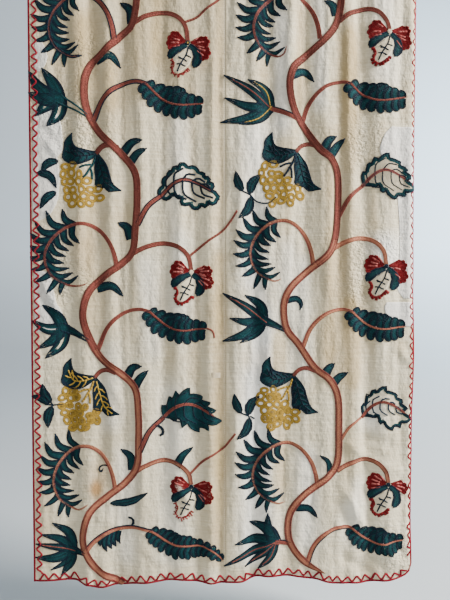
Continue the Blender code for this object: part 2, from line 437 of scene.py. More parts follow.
def linen(name, light, dark, soil, aged):
    """Plain-woven handspun linen, slightly glazed by handling: matt, with soft ribs of uneven weft.

    The thick and thin yarns give the eye faint level streaks; age gives it drawn folds, brown soil
    and painted shade in bands down them, painted highlights beside them, and crinkles round the puckers.
    """
    material, tree, shader = new_material(name, 0.88, 0.15)
    place = node(tree, "ShaderNodeTexCoord").outputs["Object"]

    def streaks(across_scale, down_scale, detail):
        """Cloudy noise, drawn out by how many patches lie in a metre across and down."""
        stretched = node(tree, "ShaderNodeMapping", [("Vector", place)],
                         [("Scale", (across_scale, 8.0, down_scale))])
        return node(tree, "ShaderNodeTexNoise", [("Vector", stretched.outputs[0])],
                    [("Scale", 1.0), ("Detail", detail), ("Roughness", 0.6)]).outputs["Fac"]

    weft = streaks(14.0, 1000.0 / SLUB_MM, 3.0)
    warp = streaks(1000.0 / SLUB_MM, 5.0, 2.0)
    soil_and_shade_streaks = streaks(20.0, 2.2, 1.0)
    cloudy = streaks(5.0, 3.5, 3.0)

    def share_of(value, low, high, least, most):
        """A share that runs from least to most as a value runs from low to high."""
        made = node(tree, "ShaderNodeMapRange", [("Value", value)],
                    [("From Min", low), ("From Max", high), ("To Min", least), ("To Max", most)])
        return made.outputs[0]

    ground = mixed(tree, share_of(weft, 0.3, 0.7, 0.30, 1.0), dark, light)
    ground = mixed(tree, share_of(warp, 0.35, 0.7, 0.0, 0.22), ground, dark)
    up = node(tree, "ShaderNodeSeparateXYZ", [("Vector", place)]).outputs["Z"]
    # Broad vertical streaks of the soil colour: brown soil and painted fold shade, fainter towards the hem
    painted_fold_shade_and_soil = node(tree, "ShaderNodeMath", operation="MULTIPLY",
                  links=[(0, share_of(soil_and_shade_streaks, 0.50, 0.75, 0.0, 0.46 if aged else 0.1)),
                         (1, share_of(up, -1.60, -1.15, 0.35, 1.0))]).outputs[0]
    ground = mixed(tree, painted_fold_shade_and_soil, ground, soil)
    ground = mixed(tree, share_of(cloudy, 0.45, 0.7, 0.0, 0.30 if aged else 0.06), ground, soil)
    # The soil attribute brings in the soil colour above 0 (brown soil and painted fold shade) and pale
    # linen below 0 (painted highlight)
    soil_and_painted_light_share = node(tree, "ShaderNodeAttribute", attribute_name="soil").outputs["Fac"]
    patchy = share_of(cloudy, 0.3, 0.6, 0.6, 1.0)
    strength = node(tree, "ShaderNodeMath", operation="MULTIPLY", links=[(0, soil_and_painted_light_share), (1, patchy)])
    ground = mixed(tree, share_of(strength.outputs[0], 0.0, 1.0, 0.0, 1.0), ground, soil)
    ground = mixed(tree, share_of(strength.outputs[0], 0.0, -1.0, 0.0, 1.0), ground, PAINTED_HIGHLIGHT_LINEN)
    stained = node(tree, "ShaderNodeAttribute", attribute_name="stain").outputs["Fac"]
    ground = mixed(tree, stained, ground, STAIN)
    tree.links.new(ground, shader.inputs["Base Color"])
    ribs = node(tree, "ShaderNodeTexWave", [("Vector", place)],
                [("Scale", RIB_SCALE), ("Distortion", 1.5), ("Detail", 2.0)],
                wave_type="BANDS", bands_direction="Z")
    relief = node(tree, "ShaderNodeMath", operation="MULTIPLY_ADD",
                  links=[(0, ribs.outputs["Fac"]), (2, weft)], inputs=[(1, 0.35)]).outputs[0]
    puckered = node(tree, "ShaderNodeAttribute", attribute_name="crinkle").outputs["Fac"]
    crinkled = node(tree, "ShaderNodeMath", operation="MULTIPLY",
                    links=[(0, puckered), (1, streaks(95.0, 120.0, 2.0))]).outputs[0]
    heights = (streaks(22.0, 3.0, 1.0), streaks(48.0, 30.0, 3.0), crinkled, relief)
    below = []
    for height, distance in zip(heights, AGED_RELIEF if aged else NEW_RELIEF):
        bump = node(tree, "ShaderNodeBump", [("Height", height), *below],
                    [("Strength", 0.8), ("Distance", distance)])
        below = [("Normal", bump.outputs[0])]
    tree.links.new(bump.outputs[0], shader.inputs["Normal"])
    return material


TWIST_SCALE = 35.714286  # a turn of the twist every 18 mm of yarn, slacker than in real wool


def wool(name, dark, middle, light):
    """Two-ply crewel wool, worsted spun and dyed in the hank: matt, soft, with a slack twist.

    Each stitch takes its own depth of dye, and the fibres give a little sheen at the edge.
    """
    material, tree, shader = new_material(name, 0.9, 0.04)
    shade = node(tree, "ShaderNodeAttribute", attribute_name="shade").outputs["Fac"]
    place = node(tree, "ShaderNodeTexCoord").outputs["Object"]
    mottled = node(tree, "ShaderNodeTexNoise", [("Vector", place)],
                   [("Scale", 60.0), ("Detail", 3.0)]).outputs["Fac"]
    depth = node(tree, "ShaderNodeMath", operation="MULTIPLY_ADD",
                 links=[(0, mottled), (2, shade)], inputs=[(1, 0.5)]).outputs[0]
    depth = node(tree, "ShaderNodeMath", operation="SUBTRACT", links=[(0, depth)],
                 inputs=[(1, 0.25)]).outputs[0]
    ramp = node(tree, "ShaderNodeValToRGB", [("Fac", depth)])
    stops = ramp.color_ramp.elements
    stops[0].color = (*dark, 1.0)
    stops[1].color = (*light, 1.0)
    stops.new(0.5).color = (*middle, 1.0)
    tree.links.new(ramp.outputs[0], shader.inputs["Base Color"])
    yarn = node(tree, "ShaderNodeUVMap", uv_map="Yarn").outputs[0]
    twist = node(tree, "ShaderNodeTexWave", [("Vector", yarn)],
                 [("Scale", TWIST_SCALE), ("Distortion", 0.6)],
                 wave_type="BANDS", bands_direction="DIAGONAL")
    bump = node(tree, "ShaderNodeBump", [("Height", twist.outputs["Fac"])],
                [("Strength", 0.3), ("Distance", 0.0004)])
    tree.links.new(bump.outputs[0], shader.inputs["Normal"])
    return material


def colour_setting(name, description, default):
    """A colour that a user can change, given in linear light."""
    return FloatVectorProperty(name=name, description=description, subtype="COLOR", size=3,
                               min=0.0, max=1.0, default=linear(default))


def length_setting(name, description, default):
    """A length that a user can change."""
    return FloatProperty(name=name, description=description, default=default, unit="LENGTH",
                         subtype="DISTANCE", precision=5)


class ClothSettings(bpy.types.PropertyGroup):
    """The ground cloth."""

    thickness: length_setting("Thickness", "Thickness of the linen", 0.0009)
    hem_thickness: length_setting("Hem Thickness", "Extra thickness where the hem is turned", 0.0010)
    hem_width: length_setting("Hem Width", "Width of the turned hem", 0.014)
    column: length_setting("Column", "Width of one column of the cloth's mesh", 0.006)
    row: length_setting("Row", "Height of one row of the cloth's mesh", 0.009)
    light: colour_setting("Light Linen", "Colour of the cleanest yarn", "#E7DDC3")
    dark: colour_setting("Dark Linen", "Colour of the darker yarn", "#C2B392")
    # The soil colour stands for brown soil and for painted shade along the folds
    soil: colour_setting("Soil", "Colour of soiled folds", "#B29C72")
    mend_light: colour_setting("Mend Light", "Colour of the newer mending linen", "#E6E2DA")
    mend_dark: colour_setting("Mend Dark", "Darker yarn of the mending linen", "#D6D2CA")


class StitchSettings(bpy.types.PropertyGroup):
    """The wool stitches."""

    pitch: length_setting("Pitch", "Distance between rows of stitches", 0.0020)
    stitch: length_setting("Stitch", "Length of one stitch", 0.0085)
    crest: FloatProperty(name="Crest", description="Height of a stitch as a share of its width",
                         default=0.5, min=0.1, max=1.0)
    seed: IntProperty(name="Seed", description="Start of the random draws", default=5)


class WoolSettings(bpy.types.PropertyGroup):
    """The dyed wools, each at its middle depth of dye."""

    stem: colour_setting("Stem", "Madder wool of the stems", "#7A4037")
    pale_stem: colour_setting("Pale Stem", "Faded wool of the younger stems", "#9C644D")
    green: colour_setting("Green", "Blue-green wool of the leaves", "#0B383D")
    navy: colour_setting("Navy", "Indigo wool of outlines", "#071A29")
    red: colour_setting("Red", "Cochineal wool of the petals", "#760D14")
    yellow: colour_setting("Yellow", "Weld wool of the fruit", "#A68636")
    cream: colour_setting("Cream", "Undyed wool", "#DACDB2")
    border: colour_setting("Border", "Crimson wool of the border", "#8A1426")


class StageSettings(bpy.types.PropertyGroup):
    """Floor, light and camera."""

    floor_height: length_setting("Floor", "Height of the floor", -2.13)
    lens: FloatProperty(name="Lens", description="Focal length in millimetres", default=31.98)
    key_energy: FloatProperty(name="Key", description="Power of the key light", default=740.0,
                              unit="POWER")
    fill_energy: FloatProperty(name="Fill", description="Power of the fill light", default=24.0,
                               unit="POWER")
    wall_energy: FloatProperty(name="Wall", description="Power of the light on the sweep",
                               default=900.0, unit="POWER")
    world: FloatProperty(name="World", description="Strength of the light all round", default=0.42)


# The darkest and the palest dyeing of each wool, as shares of its middle colour
WOOL_DEPTHS = {
    "stem": (0.52, 1.34), "pale_stem": (0.62, 1.35), "green": (0.52, 1.60), "navy": (0.60, 1.9),
    "red": (0.50, 1.45), "yellow": (0.58, 1.35), "cream": (0.78, 1.12), "border": (0.62, 1.4),
}
PINK = linear("#B0605A")    # the palest dyeing of the red wool


@functools.lru_cache(maxsize=None)
def wool_material(name):
    """The material of one wool, with its darker and lighter dyeings."""
    middle = np.array(getattr(bpy.context.scene.crewel_wool, name))
    dark, light = WOOL_DEPTHS[name]
    lighter = PINK if name == "red" else tuple(np.clip(middle * light, 0.0, 1.0))
    return wool(f"{name}_crewel_wool", tuple(middle * dark), tuple(middle), lighter)


# ---------------------------------------------------------------- lines and shapes on the flat
def mm(*points):
    """A list of points given in millimetres, in metres."""
    return np.array(points, float) / 1000.0


def placed(points, at, turn=0.0, grow=1.0):
    """Points turned by some degrees about their own origin, grown, and moved to a place."""
    angle = math.radians(turn)
    spin = np.array(((math.cos(angle), math.sin(angle)), (-math.sin(angle), math.cos(angle))))
    return (np.asarray(points, float) * grow) @ spin + np.asarray(at, float)


def run_lengths(path):
    """Distance along a path to each of its points."""
    steps = np.linalg.norm(np.diff(path, axis=0), axis=1)
    return np.concatenate([[0.0], np.cumsum(steps)])


def between(at, stations, points):
    """Points between those of a path, whose places along it are the stations."""
    return np.column_stack([np.interp(at, stations, points[:, k]) for k in (0, 1)])


def resampled(path, count):
    """The same path with evenly spaced points."""
    lengths = run_lengths(path)
    return between(np.linspace(0.0, lengths[-1], count), lengths, path)


def smooth(points, step=0.002):
    """A smooth path through given points."""
    points = np.asarray(points, float)
    if len(points) < 3:
        return resampled(points, max(2, int(run_lengths(points)[-1] / step) + 1))
    ghosts = np.vstack([2.0 * points[0] - points[1], points, 2.0 * points[-1] - points[-2]])
    t = np.linspace(0.0, 1.0, 14, endpoint=False)[:, None]
    spans = []
    for a, b, c, d in zip(ghosts, ghosts[1:], ghosts[2:], ghosts[3:]):
        spans.append(0.5 * (2 * b + (c - a) * t + (2 * a - 5 * b + 4 * c - d) * t ** 2
                            + (3 * b - a - 3 * c + d) * t ** 3))
    path = np.vstack([*spans, points[-1:]])
    return resampled(path, max(2, int(run_lengths(path)[-1] / step) + 1))


def onward(path):
    """Unit steps along a path's run."""
    run = np.gradient(path, axis=0)
    return run / np.maximum(np.linalg.norm(run, axis=1, keepdims=True), 1e-9)


def leftward(path):
    """Unit normals to the left of a path's run."""
    run = onward(path)
    return np.column_stack([-run[:, 1], run[:, 0]])


def shares(path):
    """Place of each point of an evenly spaced path, from 0 at its start to 1 at its end."""
    return np.linspace(0.0, 1.0, len(path))


def bowed(start, end, bend):
    """A bowed path between two points; bend is a share of its length, to the left of its run."""
    start, end = np.asarray(start, float), np.asarray(end, float)
    run = end - start
    middle = (start + end) / 2.0 + np.array((-run[1], run[0])) * bend
    return smooth([start, middle, end])


def almond(count, belly=0.4):
    """Half widths of a leaf, 0 at both ends and 1 at its belly."""
    share = np.linspace(0.0, 1.0, count)
    return np.sin(math.pi * share ** (math.log(0.5) / math.log(belly))) ** 0.8


def lobe_width(count):
    """Half widths of a long flame, full at its root and drawn out to a point."""
    share = np.linspace(0.0, 1.0, count)
    return (0.95 + 1.9 * share - 1.7 * share ** 2) * np.clip(1.0 - share, 0.0, 1.0) ** 0.58 + 0.02


def finger_width(count):
    """Half widths of a finger, nearly even, with a round end."""
    share = np.linspace(0.0, 1.0, count)
    return (0.72 + 0.28 * share) * np.sqrt(np.clip(1.0 - share ** 5, 0.0, 1.0)) + 0.02


def tapered(count, start, end, tip=0.0):
    """Half widths that run from start to end, and close to a point over the last share."""
    share = np.linspace(0.0, 1.0, count)
    width = start + (end - start) * share
    if tip > 0.0:
        width = width * np.sqrt(np.clip((1.0 - share) / tip, 0.0, 1.0))
    return width


# ---------------------------------------------------------------- needlework
LINE_OVERLAP = 0.35      # how far a stitch runs into the next one of its line, as a share of it
ROW_OVERLAP = 0.22       # the same in rows that fill a shape
FILL_OVERLAP = 0.10      # the same in stitches that run across a shape, as a share of the shape
FULLNESS = 1.55          # width of a stitch in a filling, as a share of the room it has
THINNEST = 0.0012
FULLEST = 1.6            # widest stitch of a filling, in pitches
CLOSEST = 0.45           # rows closer than this, in pitches, are left out
LEAST_RUN = 0.002        # a row shorter than this is left out
MISS = 0.00012           # how far the needle misses its place
DYE_SPREAD = 0.13        # spread of the depth of dye from stitch to stitch ...
ROW_SPREAD = 0.09        # ... and from row to row
COLOUR_BLUR = 0.10       # how far the colours of a filling run into each other
NAVY_EDGE = ("navy", 0.45)
NAVY_LINE = ("navy", 0.5)
# Lines of stem stitch: thickness, lift over the stitches below, then the length of a stitch where
# it is not the usual one
CLAW_EDGE = (0.0026, 0.0002)
CLAW_POINT = (0.0050, 0.0001)
STEM_EDGE = 0.0044
LOBE_EDGE = (0.0032, 0.0002)
LOBE_POINT = (0.0052, 0.0001)
LOBE_VEIN = (0.0036, 0.0010)
OPEN_STALK_EDGE = (0.0056, 0.0004)
FINGER_EDGE = (0.0040, 0.0006, 0.006)
FRUIT_LEAF_EDGE = (0.0044, 0.0004)
FRUIT_LEAF_RIB = (0.0044, 0.0010)
FRUIT_LEAF_VEIN = (0.0040, 0.0010)
TWIG_LINE = (0.0062, 0.0008)
BERRY_LINE = (0.0031, 0.0, 0.0055)
PETAL_RIM = (0.0044, 0.0004, 0.005)
PETAL_LIGHT = (0.0046, 0.0007)
SEPAL_EDGE = (0.0034, 0.0010)
HEART_LINE = (0.0050, 0.0009, 0.006)
KNOT_LINE = (0.0040, 0.0018, 0.003)
SMALL_LEAF_EDGE = (0.0034, 0.0002)
SMALL_LEAF_RIB = (0.0034, 0.0007)
SPRIG_FOOT_LINE = (0.0046, 0.0003)
SPRIG_STALK_LINE = (0.0044, 0.0003)
LOOSE_END = (0.0030, 0.0012, 0.004)


class Needlework:
    """Stitches of one kind of motif, kept apart by wool until they are made into meshes."""

    def __init__(self, name, seed):
        sizes = bpy.context.scene.crewel_stitch
        self.name = name
        self.pitch = sizes.pitch
        self.length = sizes.stitch
        self.crest = sizes.crest
        self.draw = np.random.default_rng(sizes.seed * 100 + seed)
        self.kept = {}

    def add(self, wool_name, start, end, width, lift, shade):
        """Keeps some stitches. start and end are flat points; the rest may be one value each."""
        start, end = np.atleast_2d(start), np.atleast_2d(end)
        count = len(start)
        spread = [np.broadcast_to(np.asarray(v, float), count) for v in (width, lift, shade)]
        shade = spread[2] + self.draw.normal(0.0, DYE_SPREAD, count)
        rows = np.column_stack([start, end, spread[0], spread[1], shade])
        self.kept.setdefault(wool_name, []).append(rows)

    def line(self, path, shade, width=None, lift=0.0, length=None):
        """One row of stem stitch along a path. shade is (wool, depth of dye from 0 to 1)."""
        width = self.pitch * 1.35 if width is None else width
        length = self.length if length is None else length
        count = max(1, round(run_lengths(path)[-1] / length))
        knots = resampled(path, count + 1)
        knots = knots + self.draw.normal(0.0, MISS, knots.shape)
        ends = knots[1:] + (knots[1:] - knots[:-1]) * LINE_OVERLAP
        self.add(shade[0], knots[:-1], ends, width, lift, shade[1])

    def edges(self, path, width, shade, thick, lift, length=None, skip=0):
        """A row of stem stitch down each side of a shape, from some steps beyond its foot."""
        for turn in (-1.0, 1.0):
            edge = path + leftward(path) * (width * turn)[:, None]
            self.line(edge[skip:], shade, thick, lift, length)

    def rows(self, path, left, right, shades, lift=0.0, slit=None):
        """Rows of stitches side by side along a path, between half widths to its left and right.

        shades runs from the right side to the left. slit is (from, to, half share): the middle
        rows that are left open over that part of the path.
        """
        across = left + right
        count = max(2, round(across.max() / self.pitch))
        side = leftward(path)
        for row in range(count):
            share = (row + 0.5) / count
            line = path + side * (across * share - right)[:, None]
            total = run_lengths(line)[-1]
            if total < LEAST_RUN:
                continue
            number = max(2, round(total / self.length))
            phase = 0.5 * (row % 2)
            cuts = (np.arange(number + 1) - phase + self.draw.uniform(-0.15, 0.15, number + 1)) / number
            cuts = np.unique(np.clip(np.append(cuts, 1.0), 0.0, 1.0))
            at = cuts * (len(line) - 1)
            steps = np.arange(len(line))
            knots = between(at, steps, line)
            middle = (at[1:] + at[:-1]) / 2.0
            gap = np.interp(middle, steps, across) / count
            skip = np.ceil(CLOSEST * self.pitch / np.maximum(gap, 1e-5)).astype(int)
            keep = row % np.maximum(skip, 1) == 0
            if slit is not None:
                inside = (cuts[1:] > slit[0]) & (cuts[:-1] < slit[1])
                keep &= ~(inside & (abs(share - 0.5) < slit[2]))
            if not keep.any():
                continue
            wool_name, depth = shades[min(int(share * len(shades)), len(shades) - 1)]
            depth = depth + self.draw.normal(0.0, ROW_SPREAD)
            ends = knots[1:] + (knots[1:] - knots[:-1]) * ROW_OVERLAP
            width = np.clip(gap * FULLNESS, THINNEST, self.pitch * FULLEST)
            self.add(wool_name, knots[:-1][keep], ends[keep], width[keep], lift, depth)

    def across(self, inner, outer, shades):
        """Long-and-short stitches that fill from an inner line to an outer one.

        shades runs from the inner line to the outer one.
        """
        longest = max(run_lengths(inner)[-1], run_lengths(outer)[-1])
        count = max(2, round(longest / self.pitch))
        a, b = resampled(inner, count), resampled(outer, count)
        lengths = np.linalg.norm(b - a, axis=1)
        gaps_a = np.linalg.norm(np.gradient(a, axis=0), axis=1)
        gaps_b = np.linalg.norm(np.gradient(b, axis=0), axis=1)
        pieces = np.maximum(1, np.round(lengths / self.length)).astype(int)
        odd = np.arange(count) % 2
        for step in range(pieces.max() + 1):
            low = (step - 0.5 * odd) / pieces
            high = (step + 1 - 0.5 * odd) / pieces
            shift = self.draw.uniform(-0.12, 0.12, count) / pieces
            low = np.clip(np.where(low > 0.0, low + shift, low), 0.0, 1.0)
            high = np.clip(high + np.where(high < 1.0, shift, 0.0), 0.0, 1.0)
            keep = (high - low) * lengths > THINNEST
            if not keep.any():
                continue
            middle = (low + high) / 2.0
            place = np.clip(middle + self.draw.normal(0.0, COLOUR_BLUR, count), 0.0, 0.999)
            pick = (place * len(shades)).astype(int)
            gap = gaps_a * (1.0 - middle) + gaps_b * middle
            width = np.clip(gap * FULLNESS, THINNEST, self.pitch * FULLEST)
            start = a + (b - a) * low[:, None]
            end = a + (b - a) * np.minimum(high + FILL_OVERLAP, 1.02)[:, None]
            for index, (wool_name, depth) in enumerate(shades):
                here = keep & (pick == index)
                if here.any():
                    self.add(wool_name, start[here], end[here], width[here], 0.0, depth)

    def make(self, side="front"):
        """Makes one mesh for each wool, on the front or the back of the cloth."""
        for wool_name, batches in self.kept.items():
            name = f"{self.name}_{wool_name}"
            stitch_mesh(name, np.vstack(batches), wool_name, self.crest, self.draw, side)


# Corners of one stitch: 0, 1 and 2 the left, right and crest of its start, and 3, 4 and 5 those of
# its end. Five faces close it.
STITCH_FACES = ((2, 5, 3, 0), (1, 4, 5, 2), (0, 3, 4, 1), (0, 1, 2), (3, 5, 4))
STITCH_CORNERS = 6
STITCH_BASE = -0.0001    # the underside of a stitch sinks this little into the cloth
TAPER_LENGTH = 0.22      # the crest stops this share of the stitch's length from its ends ...
TAPER_WIDTH = 0.6        # ... or this share of its width, whichever is less
BACK_WORK = []           # the wool and the stitches of each piece of the front


def stitch_mesh(name, stitches, wool_name, crest, draw, side):
    """A piece of closed strands of yarn lying on the cloth."""
    start, end = stitches[:, 0:2], stitches[:, 2:4]
    width, lift, shade = stitches[:, 4], stitches[:, 5], stitches[:, 6]
    run = end - start
    length = np.maximum(np.linalg.norm(run, axis=1), 1e-6)
    run = run / length[:, None]
    beside = np.column_stack([-run[:, 1], run[:, 0]]) * (width / 2.0)[:, None]
    taper = run * np.minimum(TAPER_LENGTH * length, TAPER_WIDTH * width)[:, None]
    flat = np.stack([start + beside, start - beside, start + taper,
                     end + beside, end - beside, end - taper], axis=1)
    high = width * crest * draw.uniform(0.85, 1.15, len(width))
    base = np.full_like(high, STITCH_BASE)
    lifts = np.stack([base, base, high, base, base, high], axis=1) + lift[:, None]
    if side == "back":
        lifts = -bpy.context.scene.crewel_cloth.thickness - lifts
    else:
        lifts = lifts + over_mends(flat) * (MEND_LIFT + MEND_THICKNESS)
    places = hanging_cloth().lay(flat[..., 0].ravel(), flat[..., 1].ravel(), lifts.ravel())
    corners = np.array([c for face in STITCH_FACES for c in (face if side == "front" else face[::-1])])
    sizes = np.array([len(face) for face in STITCH_FACES])
    offsets = np.arange(len(stitches)) * STITCH_CORNERS
    loops = (corners[None, :] + offsets[:, None]).ravel()
    starts = np.concatenate([[0], np.cumsum(np.tile(sizes, len(stitches)))[:-1]])
    mesh = mesh_from(name, places, loops, starts)
    along = length[:, None] * np.array((0.0, 0.0, 0.2, 1.0, 1.0, 0.8))
    along += draw.uniform(0.0, 1.0, len(length))[:, None]
    around = np.tile(np.array((-1.0, 1.0, 0.0, -1.0, 1.0, 0.0)), (len(length), 1))
    around *= width[:, None] * 0.7
    add_uv(mesh, "Yarn", np.column_stack([along.ravel(), around.ravel()])[loops])
    add_uv(mesh, "OFBake", bake_places(flat.reshape(-1, 2))[loops])
    add_numbers(mesh, "shade", np.repeat(shade, STITCH_CORNERS))
    new_piece(name, mesh, wool_material(wool_name))
    if side == "front":
        BACK_WORK.append((wool_name, stitches))


def bake_places(flat, low=0.0, high=1.0):
    """Flat places scaled to fill a strip of the unit square."""
    corner = flat.min(0)
    size = np.maximum(flat.max(0) - corner, 1e-6)
    share = (flat - corner) / size
    share[:, 0] = low + share[:, 0] * (high - low)
    return share


def mesh_from(name, places, loops, starts):
    """A smooth-shaded mesh from its points and its faces' corners."""
    mesh = bpy.data.meshes.new(name)
    mesh.vertices.add(len(places))
    mesh.vertices.foreach_set("co", np.asarray(places, np.float32).ravel())
    mesh.loops.add(len(loops))
    mesh.loops.foreach_set("vertex_index", np.asarray(loops, np.int32))
    mesh.polygons.add(len(starts))
    mesh.polygons.foreach_set("loop_start", np.asarray(starts, np.int32))
    mesh.update(calc_edges=True)
    mesh.validate()
    mesh.shade_smooth()
    return mesh


def add_uv(mesh, name, places):
    """A map of the mesh's corners."""
    layer = mesh.uv_layers.new(name=name)
    layer.data.foreach_set("uv", np.asarray(places, np.float32).ravel())


def add_numbers(mesh, name, values):
    """A number at each point of the mesh."""
    mesh.attributes.new(name, "FLOAT", "POINT").data.foreach_set(
        "value", np.asarray(values, np.float32).ravel())


def new_piece(name, mesh, material):
    """A piece that hangs with the cloth, made of a mesh and one material."""
    mesh.materials.append(material)
    piece = bpy.data.objects.new(name, mesh)
    bpy.context.scene.collection.objects.link(piece)
    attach(piece, "root")
    return piece


FOOT_UNDER = 0.007       # a leaf starts this far under the stem that carries it
CLAW_POINT_FROM = 0.66   # share of a claw from which its point is navy


def claw(work, path, half, shades):
    """A leaf that stands on a stem: full at its foot and drawn out to a curved point."""
    run = (path[0] - path[2]) / np.linalg.norm(path[0] - path[2])
    path = smooth(np.vstack([path[:1] + run * FOOT_UNDER, path[::4], path[-1:]]))
    share = shares(path)
    width = half * (1.0 - share) ** 0.66 * (0.85 + 0.70 * share) + 0.0003
    work.rows(path, width, width, shades)
    work.line(path[int(len(path) * CLAW_POINT_FROM):], NAVY_EDGE, *CLAW_POINT)
    work.edges(path, width, NAVY_EDGE, *CLAW_EDGE)


def flame(work, root, tip, half, bend, shades):
    """A claw between two points, bowed to one side."""
    claw(work, bowed(root, tip, bend), half, shades)


# ---------------------------------------------------------------- cloth pieces
HEM_PAST = 0.004         # the turned hem thins out this far past its own width ...
HEM_EASE = 0.006         # ... and over this length


def slab(name, columns, rows, material, front, behind, extras):
    """A thin closed sheet. front and behind are grids of points with the same flat grid."""
    total = columns * rows
    places = np.concatenate([front.reshape(-1, 3), behind.reshape(-1, 3)])
    index = np.arange(total).reshape(columns, rows)
    a, b = index[:-1, :-1], index[1:, :-1]
    c, d = index[1:, 1:], index[:-1, 1:]
    faces = [np.stack([a, d, c, b], axis=-1).reshape(-1, 4)]
    faces.append(np.stack([a, b, c, d], axis=-1).reshape(-1, 4) + total)
    rim = np.concatenate([index[:, 0], index[-1, 1:], index[-2::-1, -1], index[0, -2::-1]])
    step = np.column_stack([rim[:-1], rim[1:]])
    faces.append(np.column_stack([step[:, 0], step[:, 1], step[:, 1] + total, step[:, 0] + total]))
    loops = np.concatenate(faces).ravel()
    mesh = mesh_from(name, places, loops, np.arange(0, len(loops), 4))
    flat = extras.pop("flat").reshape(-1, 2)
    # The two faces lie side by side in the unit square
    maps = np.concatenate([bake_places(flat, 0.0, 0.495), bake_places(flat, 0.505, 1.0)])
    add_uv(mesh, "OFBake", maps[loops])
    for label, values in extras.items():
        add_numbers(mesh, label, np.tile(values.ravel(), 2))
    return new_piece(name, mesh, material)


def loom_width(name, first, last, gap_side, material):
    """One loom width of the ground cloth, from one grid column to another."""
    cloth = hanging_cloth()
    sizes = bpy.context.scene.crewel_cloth
    flat = cloth.flat[first:last + 1].copy()
    front = cloth.points[first:last + 1].copy()
    outward = cloth.outward[first:last + 1]
    edge = 0 if gap_side < 0 else -1
    front[edge, :, 0] -= gap_side * SEAM_GAP / 2.0
    to_side = np.minimum(flat[..., 0] + LEFT_WIDTH, RIGHT_WIDTH - flat[..., 0])
    to_hem = flat[..., 1] + hem_drop(flat[..., 0])
    to_edge = np.minimum(np.minimum(to_side, to_hem), -flat[..., 1])
    turned = np.clip((sizes.hem_width + HEM_PAST - to_edge) / HEM_EASE, 0.0, 1.0)
    thick = sizes.thickness + sizes.hem_thickness * turned
    behind = front - outward * thick[..., None]
    columns, rows = flat.shape[:2]
    extras = {"flat": flat, "soil": soil_and_painted_light_of(flat), "stain": stain_of(flat), "crinkle": crinkle_of(flat)}
    return slab(name, columns, rows, material, front, behind, extras)


class CREWEL_OT_ground_cloth(bpy.types.Operator):
    """Weave and hang the two loom widths"""

    bl_idname = "crewel.ground_cloth"
    bl_label = "Ground Cloth"

    def execute(self, context):
        sizes = context.scene.crewel_cloth
        cloth = hanging_cloth()
        material = linen("handspun_linen", tuple(sizes.light), tuple(sizes.dark), tuple(sizes.soil), True)
        seam = cloth.seam_column
        left = loom_width(LEFT_PIECE, 0, seam, 1, material)
        right = loom_width(RIGHT_PIECE, seam, len(cloth.across) - 1, -1, material)
        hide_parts(CLOTH_NODES[0])
        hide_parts(CLOTH_NODES[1])
        return {"FINISHED"}


# Newer linen let in where the old cloth wore through. Each mend: the piece that it lies on, then
# rows of height, left side and right side, from the top down.
MENDS = (
    ("upper_left", LEFT_PIECE, (
        (-0.418, -0.543, -0.520), (-0.445, -0.545, -0.508), (-0.475, -0.545, -0.510),
        (-0.500, -0.544, -0.530))),
    ("middle_left", LEFT_PIECE, (
        (-0.604, -0.546, -0.500), (-0.625, -0.548, -0.478), (-0.665, -0.550, -0.468),
        (-0.722, -0.552, -0.467), (-0.744, -0.553, -0.480), (-0.800, -0.553, -0.476),
        (-0.865, -0.554, -0.482), (-0.908, -0.554, -0.505), (-0.925, -0.554, -0.535))),
    ("lower_left", LEFT_PIECE, (
        (-1.070, -0.551, -0.522), (-1.085, -0.552, -0.505), (-1.154, -0.553, -0.489),
        (-1.205, -0.553, -0.466), (-1.232, -0.553, -0.468), (-1.246, -0.552, -0.510))),
    ("upper_right", RIGHT_PIECE, (
        (-0.655, 0.480, 0.548), (-0.680, 0.458, 0.549), (-0.722, 0.446, 0.550),
        (-0.760, 0.462, 0.550), (-0.800, 0.485, 0.550), (-0.865, 0.500, 0.550),
        (-1.009, 0.508, 0.550), (-1.110, 0.500, 0.550), (-1.150, 0.520, 0.549))),
    ("lower_right", RIGHT_PIECE, (
        (-1.160, 0.470, 0.548), (-1.180, 0.463, 0.549), (-1.212, 0.478, 0.549),
        (-1.232, 0.505, 0.548))),
)
MEND_LIFT = 0.0002
MEND_THICKNESS = 0.0004
MEND_CELL = 0.004        # size of one cell of a mend's mesh
MEND_EASE = 0.002        # stitches over a mend rise to its height over this length
MEND_WOBBLE = 0.0006     # unevenness of its cut edge
MEND_SOIL_AND_PAINTED_LIGHT = 0.3          # share of the old cloth's soil, painted shade and painted highlight on it
MEND_CRINKLE = 0.5       # share of the old cloth's crinkles in it
# Felling stitches down the right side of a mend: distance apart, reach off the mend and onto it,
# thickness, depth of dye
FELLING_PITCH = 0.006
FELLING_OFF = 0.0014
FELLING_ON = 0.0018
FELLING_YARN = 0.0007
FELLING_SHADE = 0.6


def over_mends(flat):
    """Share of a mend's height under each flat point: 1 well inside a mend, 0 beside it."""
    across, height = flat[..., 0], flat[..., 1]
    cover = np.zeros_like(across)
    for _, _, table in MENDS:
        heights, lefts, rights = (np.array(column)[::-1] for column in zip(*table))
        inside = np.minimum(across - np.interp(height, heights, lefts),
                            np.interp(height, heights, rights) - across)
        inside = np.minimum(inside, np.minimum(height - heights[0], heights[-1] - height))
        cover = np.maximum(cover, np.clip(inside / MEND_EASE + 1.5, 0.0, 1.0))
    return cover


